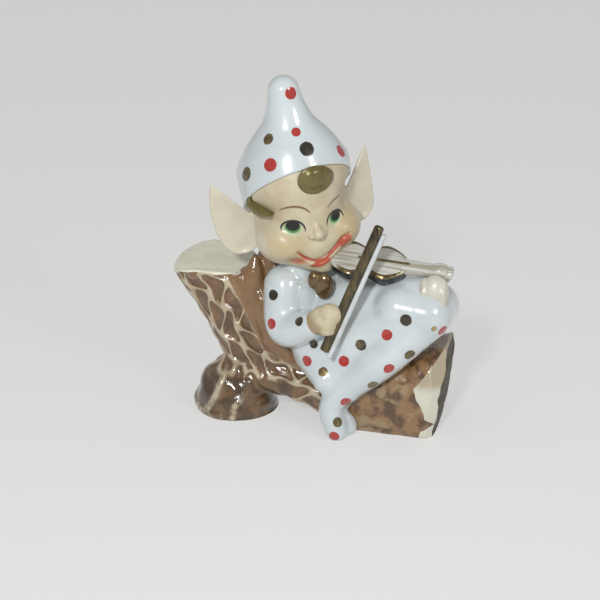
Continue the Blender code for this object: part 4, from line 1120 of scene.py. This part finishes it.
def makeViolin():
    # the outline is shrunk towards the middle line for the plates: ring point = (x, k half width),
    # with k and the height from a rounded edge profile, and an arch of arch (1 - k^2) on the top plate
    v = violin
    share = 0.5 - 0.5 * np.cos(np.linspace(0, np.pi, 90))
    side = np.stack([share * v["body"], violinHalfWidth(share)], axis=1)
    outline = np.vstack([side, (side * (1, -1))[-2:0:-1]])
    middle = np.clip(outline[:, 0], 0.12 * v["body"], 0.88 * v["body"])
    centre = np.stack([middle, np.zeros(len(outline))], axis=1)
    lip = v["lip"]
    topShare = np.linspace(0, 1, 9)[:-1]
    profile = [(k, v["arch"] * (1 - k**2)) for k in topShare]
    profile += [(1.0 + 0.02 * math.sin(a), -lip + lip * math.cos(a)) for a in np.linspace(0.2, np.pi, 6)]
    profile += [(0.95, -2.2 * lip), (0.95, -v["ribs"] + lip)]
    profile += [(1.0 - 0.05 * k, -v["ribs"] + lip * (0.5 - k)) for k in (0.0, 0.6)]
    profile += [(k, -v["ribs"]) for k in (0.75, 0.4, 0.0)]
    rings = []
    for k, z in profile:
        flat = centre + (outline - centre) * k
        rings.append(np.column_stack([flat, np.full(len(flat), z)]))
    body = fromViolin(np.array(rings))

    def bar(width, stops, **shape):
        # x along the violin, height, and half width and depth as shares of half the width
        half = 0.5 * width
        return tubeGrid([(*fromViolin((x, 0, z)), wide * half, deep * half) for x, z, wide, deep in stops],
                        towards=violinOut, **shape)

    neck = bar(v["neckWidth"], [(0.80 * v["body"], -0.9, 1.1, 0.8), (v["body"], -0.9, 1.0, 0.85),
                                (neckEnd, -1.0, 0.85, 0.85)], square=3.0, bulge=0.3)
    scroll = bar(v["scrollWide"], [(neckEnd - 2.4, -0.4, 0.7, 0.6), (neckEnd - 0.6, -0.6, 0.96, 0.9),
                                   (neckEnd + 1.2, -0.9, 1.0, 1.0), (neckEnd + 1.9, -1.1, 0.86, 0.86),
                                   (neckEnd + 2.9, -1.4, 0.98, 0.98)], around=40, square=2.4, bulge=0.5)
    piece = newPiece("violin", shellsOf([body, neck, scroll]))
    heights = np.array([z for _, z in profile])[1:-1]
    rib = np.where(heights < -0.3, 1.0, 0.0)
    rim = np.where((heights > -0.3) & (heights < 0.25), 1.0, 0.0)
    rest = len(piece.data.vertices) - len(rib) * len(outline)
    for name, rows in (("rib", rib), ("rim", rim)):
        tag(piece, name, np.concatenate([np.repeat(rows, len(outline)), np.zeros(rest)]))
    piece.data.materials.append(makeViolinGlaze())
    return piece


def makeViolinGlaze():
    # white with grain lines along it, gold on the edge of both bouts and for the strings, black ribs
    v = violin
    material, nodes, shader = newFinish("violinGlaze", {"Coat Weight": 1.0, "Coat Roughness": 0.05})
    place = partCoordinates(nodes, violinTail + footing, Matrix(violinTurn.tolist()).to_euler())
    axes = addNode(nodes, "SeparateXYZ", {"Vector": place}).outputs
    streaks = vectorCalc(nodes, "MULTIPLY", place, (0.05, 1.1, 0.3))
    grain = noise(nodes, streaks, 1.0, 1.0)
    white = lay(nodes, ramp(nodes, grain, 0.46, 0.72), v["white"], v["shade"])
    leaf = useGroup(nodes, gilding, {"Vector": place, "Scale": 0.6, "Tone": 0.62})

    def within(start, full, fading, end):
        # 1 between two places along the violin
        rising, falling = ramp(nodes, axes["X"], start, full), ramp(nodes, axes["X"], end, fading)
        return calc(nodes, "MULTIPLY", rising, falling)

    rim = calc(nodes, "MULTIPLY", ramp(nodes, readTag(nodes, "rim"), 0.3, 0.6), within(*v["rimGold"]))
    line = calc(nodes, "ABSOLUTE", calc(nodes, "MULTIPLY_ADD", noise(nodes, place, 0.4), 0.3, axes["Y"]))
    string = calc(nodes, "MULTIPLY", ramp(nodes, line, 0.55, 0.35), within(*v["stringGold"]))
    top = ramp(nodes, axes["Z"], -0.5, 0.0)
    gold = calc(nodes, "MAXIMUM", rim, calc(nodes, "MULTIPLY", string, top))
    nearSide = ramp(nodes, axes["Y"], 0.5, -0.5)
    black = calc(nodes, "MULTIPLY", ramp(nodes, readTag(nodes, "rib"), 0.4, 0.7), nearSide)
    colour = lay(nodes, black, white, v["black"])
    colour = lay(nodes, gold, colour, leaf["Color"])
    nodes.links.new(colour, shader["Base Color"])
    nodes.links.new(calc(nodes, "MULTIPLY", gold, 0.8), shader["Metallic"])
    nodes.links.new(layNumber(nodes, gold, 0.25, leaf["Roughness"]), shader["Roughness"])
    addBump(nodes, shader, grain, 0.22)
    return material


# Bow: a gilt stick with the white hair beside it

bow = {"long": 42.5, "stick": 2.8, "stickDeep": 2.2, "hair": 1.35, "hairDeep": 2.2, "gap": 0.02,
       "web": 2.4, "webDeep": 1.0, "white": srgb(204, 210, 211), "shade": srgb(186, 192, 190)}


def makeBow():
    # stick and hair are straight bars of rounded square section, point = low + shift + share long lift, and
    # a flat bar behind holds them together
    b = bow
    lift = heading(-15, 68)
    low = hand + spot(3.0, -0.5, 0) - 0.25 * b["long"] * lift
    faces = spot(-0.15, -1, 0)
    front = unit(faces - lift * (faces @ lift))
    right = np.cross(lift, front)
    apart = 0.5 * (b["stick"] + b["hair"]) + b["gap"]

    def bar(shift, wide, deep, start, stop):
        path = [low + shift + share * b["long"] * lift for share in np.linspace(start, stop, 4)]
        return shellOf(tubeGrid([(*place, 0.5 * wide, 0.5 * deep) for place in path],
                                towards=faces, square=3.2, bulge=0.6))

    stick = bar(spot(0, 0, 0), b["stick"], b["stickDeep"], 0.03, 0.965)
    hair = bar(right * apart - 0.3 * front, b["hair"], b["hairDeep"], 0.0, 0.93)
    web = bar(right * 0.6 * apart - 0.6 * front, b["web"], b["webDeep"], 0.0, 0.92)
    piece = newPiece("bow", joinShells([stick, hair, web]))
    tag(piece, "gilt", np.arange(len(piece.data.vertices)) < len(stick[0]))
    piece.data.materials.append(makeBowGlaze())
    return piece


def makeBowGlaze():
    # gold stick, rubbed brown in streaks along it, beside plain white glaze
    material, nodes, shader = newFinish("bowGlaze", {"Coat Weight": 0.8, "Coat Roughness": 0.06})
    place = partCoordinates(nodes)
    streaks = vectorCalc(nodes, "MULTIPLY", place, (1.0, 1.0, 0.25))
    leaf = useGroup(nodes, gilding, {"Vector": streaks, "Scale": 0.6, "Tone": 0.36})
    gilt = ramp(nodes, readTag(nodes, "gilt"), 0.4, 0.6)
    white = patchy(nodes, place, bow["white"], bow["shade"], 0.3)
    nodes.links.new(lay(nodes, gilt, white, leaf["Color"]), shader["Base Color"])
    nodes.links.new(calc(nodes, "MULTIPLY", gilt, 0.7), shader["Metallic"])
    nodes.links.new(layNumber(nodes, gilt, 0.22, leaf["Roughness"]), shader["Roughness"])
    addBump(nodes, shader, noise(nodes, place, 0.9, 3.0), 0.06)
    return material


# Hands: the near one round the bow, the far one at the violin's neck

hands = {
    "palm": (4.6, 3.4, 4.2), "knuckles": (3.6, 2.9, 3.3), "wrist": (3.9, 3.8), "fingers": (1.5, 1.5, 1.3),
    "apart": 1.5, "softenings": 15, "farPlace": (40.8, -7.5, -19.6), "farPalm": (4.5, 2.5, 6.2),
    "farTurn": (-12, 6, 0), "farFingers": (0.8, 1.0, 0.9), "farApart": 1.9, "farSoftenings": 34,
    "grain": 0.25, "farPale": 0.8,
}


def makeHands():
    # each is a ball with a round tube for each finger, one step further on for each, and fused so far that
    # only faint furrows stay between them
    h = hands
    palm = hand + spot(-1.2, 0.2, -0.1)
    fist = [ballGrid(palm, h["palm"]), limbGrid([wrist, palm], h["wrist"]),
            ballGrid(hand + spot(0.9, -0.6, 2.0), h["knuckles"])]
    for k in range(4):  # fingers folded over the stick
        root = hand + spot(-0.8 - 0.35 * k, -1.5, 2.2 - h["apart"] * k)
        fist.append(limbGrid([root, root + spot(1.9, -1.0, -0.1), root + spot(3.2, 0.1, -0.5)], h["fingers"]))
    near = newPiece("bowHand", shellsOf(fist))
    fuse(near, h["grain"], h["softenings"])
    lean = np.array(Euler([math.radians(angle) for angle in h["farTurn"]]).to_matrix())
    palm = headMiddle + spot(*h["farPlace"])
    grip = [ballGrid(palm, h["farPalm"], lean)]
    for k in range(4):  # fingers up to the neck
        tip = palm + spot(-3.0 + h["farApart"] * k, 0.0, 3.6)
        path = [tip + spot(0.6, -1.7, -6.0), tip + spot(0.1, -1.3, -2.6), tip + spot(0, 0.6, 0.6)]
        grip.append(limbGrid(path, h["farFingers"]))
    far = newPiece("neckHand", shellsOf(grip))
    fuse(far, h["grain"], h["farSoftenings"])
    skin = makeSkin("handSkin", False)
    # painted shade: the near hand darkens to brown towards the wrist, where it meets the sleeve
    cuff = [(wrist + spot(0.6, -1.0, -1.2), 6.8)]
    blush = [(palm + spot(-4, -2, 3.0), 1.6), (palm + spot(1.2, -3.5, -5.0), 1.8)]
    for piece, pale, blushSpots, cuffShadeSpots in ((near, 0.0, [], cuff), (far, h["farPale"], blush, [])):
        points = readPoints(piece.data)
        tag(piece, "pale", np.full(len(points), pale))
        tag(piece, "blush", nearestReach(points, blushSpots))
        tag(piece, "cuff", nearestReach(points, cuffShadeSpots))
        piece.data.materials.append(skin)
    return [near, far]


# Button at the collar

button = {"lobe": (3.0, 1.9, 4.1), "smallLobe": (1.9, 1.5, 2.8), "grain": 0.22, "softenings": 4,
          "gold": srgb(104, 76, 42)}


def makeButton():
    # two balls fused: a large lobe and a small one above it to the side
    b = button
    middle = chest + spot(8.4, -8.7, 5.9)
    lobes = [ballGrid(middle, b["lobe"]), ballGrid(middle + spot(-2.9, -0.1, 1.5), b["smallLobe"])]
    piece = newPiece("collarButton", shellsOf(lobes))
    fuse(piece, b["grain"], b["softenings"])
    gilt = makeGiltGlaze("giltButton", 0.5, 0.44, (1.0, 1.0, 1.0), (0.2, 0.45), b["gold"])
    piece.data.materials.append(gilt)
    return piece


# Floor, lamps and camera

view = {"turn": 14, "rise": 22, "away": 400.0, "lens": 80.0, "aim": (0, -5, 37)}
room = {
    "floorSide": 6.0, "floor": (0.78, 0.78, 0.77, 1), "floorRoughness": 0.7,
    "floorGlow": (0.80, 0.80, 0.79, 1), "glowShare": 0.6,
    "sky": (0.92, 0.92, 0.93, 1), "skyStrength": 0.42, "backdrop": (0.72, 0.72, 0.71, 1),
    "lamps": [("key", (0, -480, 330), 60, 1.68), ("fill", (420, -260, 300), 150, 0.62)],  # place, size, power
    "lampAim": (0, 0, 45),
}


def makeCamera():
    v = view
    aim = (spot(*v["aim"]) + footing) * mm
    back = heading(90 - v["turn"], v["rise"])
    data = bpy.data.cameras.new("camera")
    data.sensor_width = 36
    data.lens = v["lens"]
    data.clip_start = 0.01
    camera = addObject("camera", data)
    camera.location = aim + back * v["away"] * mm
    camera.rotation_euler = Vector(-back).to_track_quat("-Z", "Y").to_euler()
    bpy.context.scene.camera = camera


def makeLamp(name, place, size, power):
    data = bpy.data.lights.new(name, "AREA")
    data.shape = "DISK"
    data.size = size * mm
    data.energy = power
    lamp = addObject(name, data)
    lamp.location = spot(*place) * mm
    aim = spot(*room["lampAim"]) * mm
    lamp.rotation_euler = Vector(aim - spot(*place) * mm).to_track_quat("-Z", "Y").to_euler()


def makeStage():
    # the floor and the backdrop show the camera a pale colour of their own, and light the object more softly
    r = room
    mesh = bpy.data.meshes.new("floor")
    side = r["floorSide"]
    corners = [(-side, -side, 0), (side, -side, 0), (side, side, 0), (-side, side, 0)]
    mesh.from_pydata(corners, [], [(0, 1, 2, 3)])
    floor = addObject("floor", mesh)
    paint = {"Base Color": r["floor"], "Roughness": r["floorRoughness"]}
    material, nodes, _ = newFinish("floorPaint", paint)
    glow = addNode(nodes, "Emission", {"Color": r["floorGlow"], "Strength": 1.0})
    rays = nodes.nodes.new("ShaderNodeLightPath").outputs
    seen = calc(nodes, "MAXIMUM", rays["Is Camera Ray"], rays["Is Glossy Ray"])
    mixed = addNode(nodes, "MixShader", {0: calc(nodes, "MULTIPLY", seen, r["glowShare"]),
                                         1: nodes.nodes["Principled BSDF"].outputs["BSDF"],
                                         2: glow.outputs["Emission"]})
    nodes.links.new(mixed.outputs["Shader"], nodes.nodes["Material Output"].inputs["Surface"])
    mesh.materials.append(material)
    world = bpy.data.worlds.new("room")
    world.use_nodes = True
    sky = world.node_tree
    light = sky.nodes["Background"]
    light.inputs["Color"].default_value = r["sky"]
    light.inputs["Strength"].default_value = r["skyStrength"]
    backdrop = addNode(sky, "Background", {"Color": r["backdrop"], "Strength": 1.0})
    seen = sky.nodes.new("ShaderNodeLightPath").outputs["Is Camera Ray"]
    both = addNode(sky, "MixShader", {0: seen, 1: light.outputs["Background"],
                                      2: backdrop.outputs["Background"]})
    sky.links.new(both.outputs["Shader"], sky.nodes["World Output"].inputs["Surface"])
    bpy.context.scene.world = world
    for lamp in r["lamps"]:
        makeLamp(*lamp)


def finishPiece(piece):
    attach(piece, "root")
    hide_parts("elf_figurine")


made = [makeSuit(), makeHead(), makeCap(), makeTree(), makeViolin(), makeBow(), *makeHands(), makeButton(),
        *makeLocks()]
for piece in made:
    finishPiece(piece)
    print("piece", piece.name, len(piece.data.polygons), "faces")

makeStage()
makeCamera()
bpy.context.scene.view_settings.view_transform = "Standard"
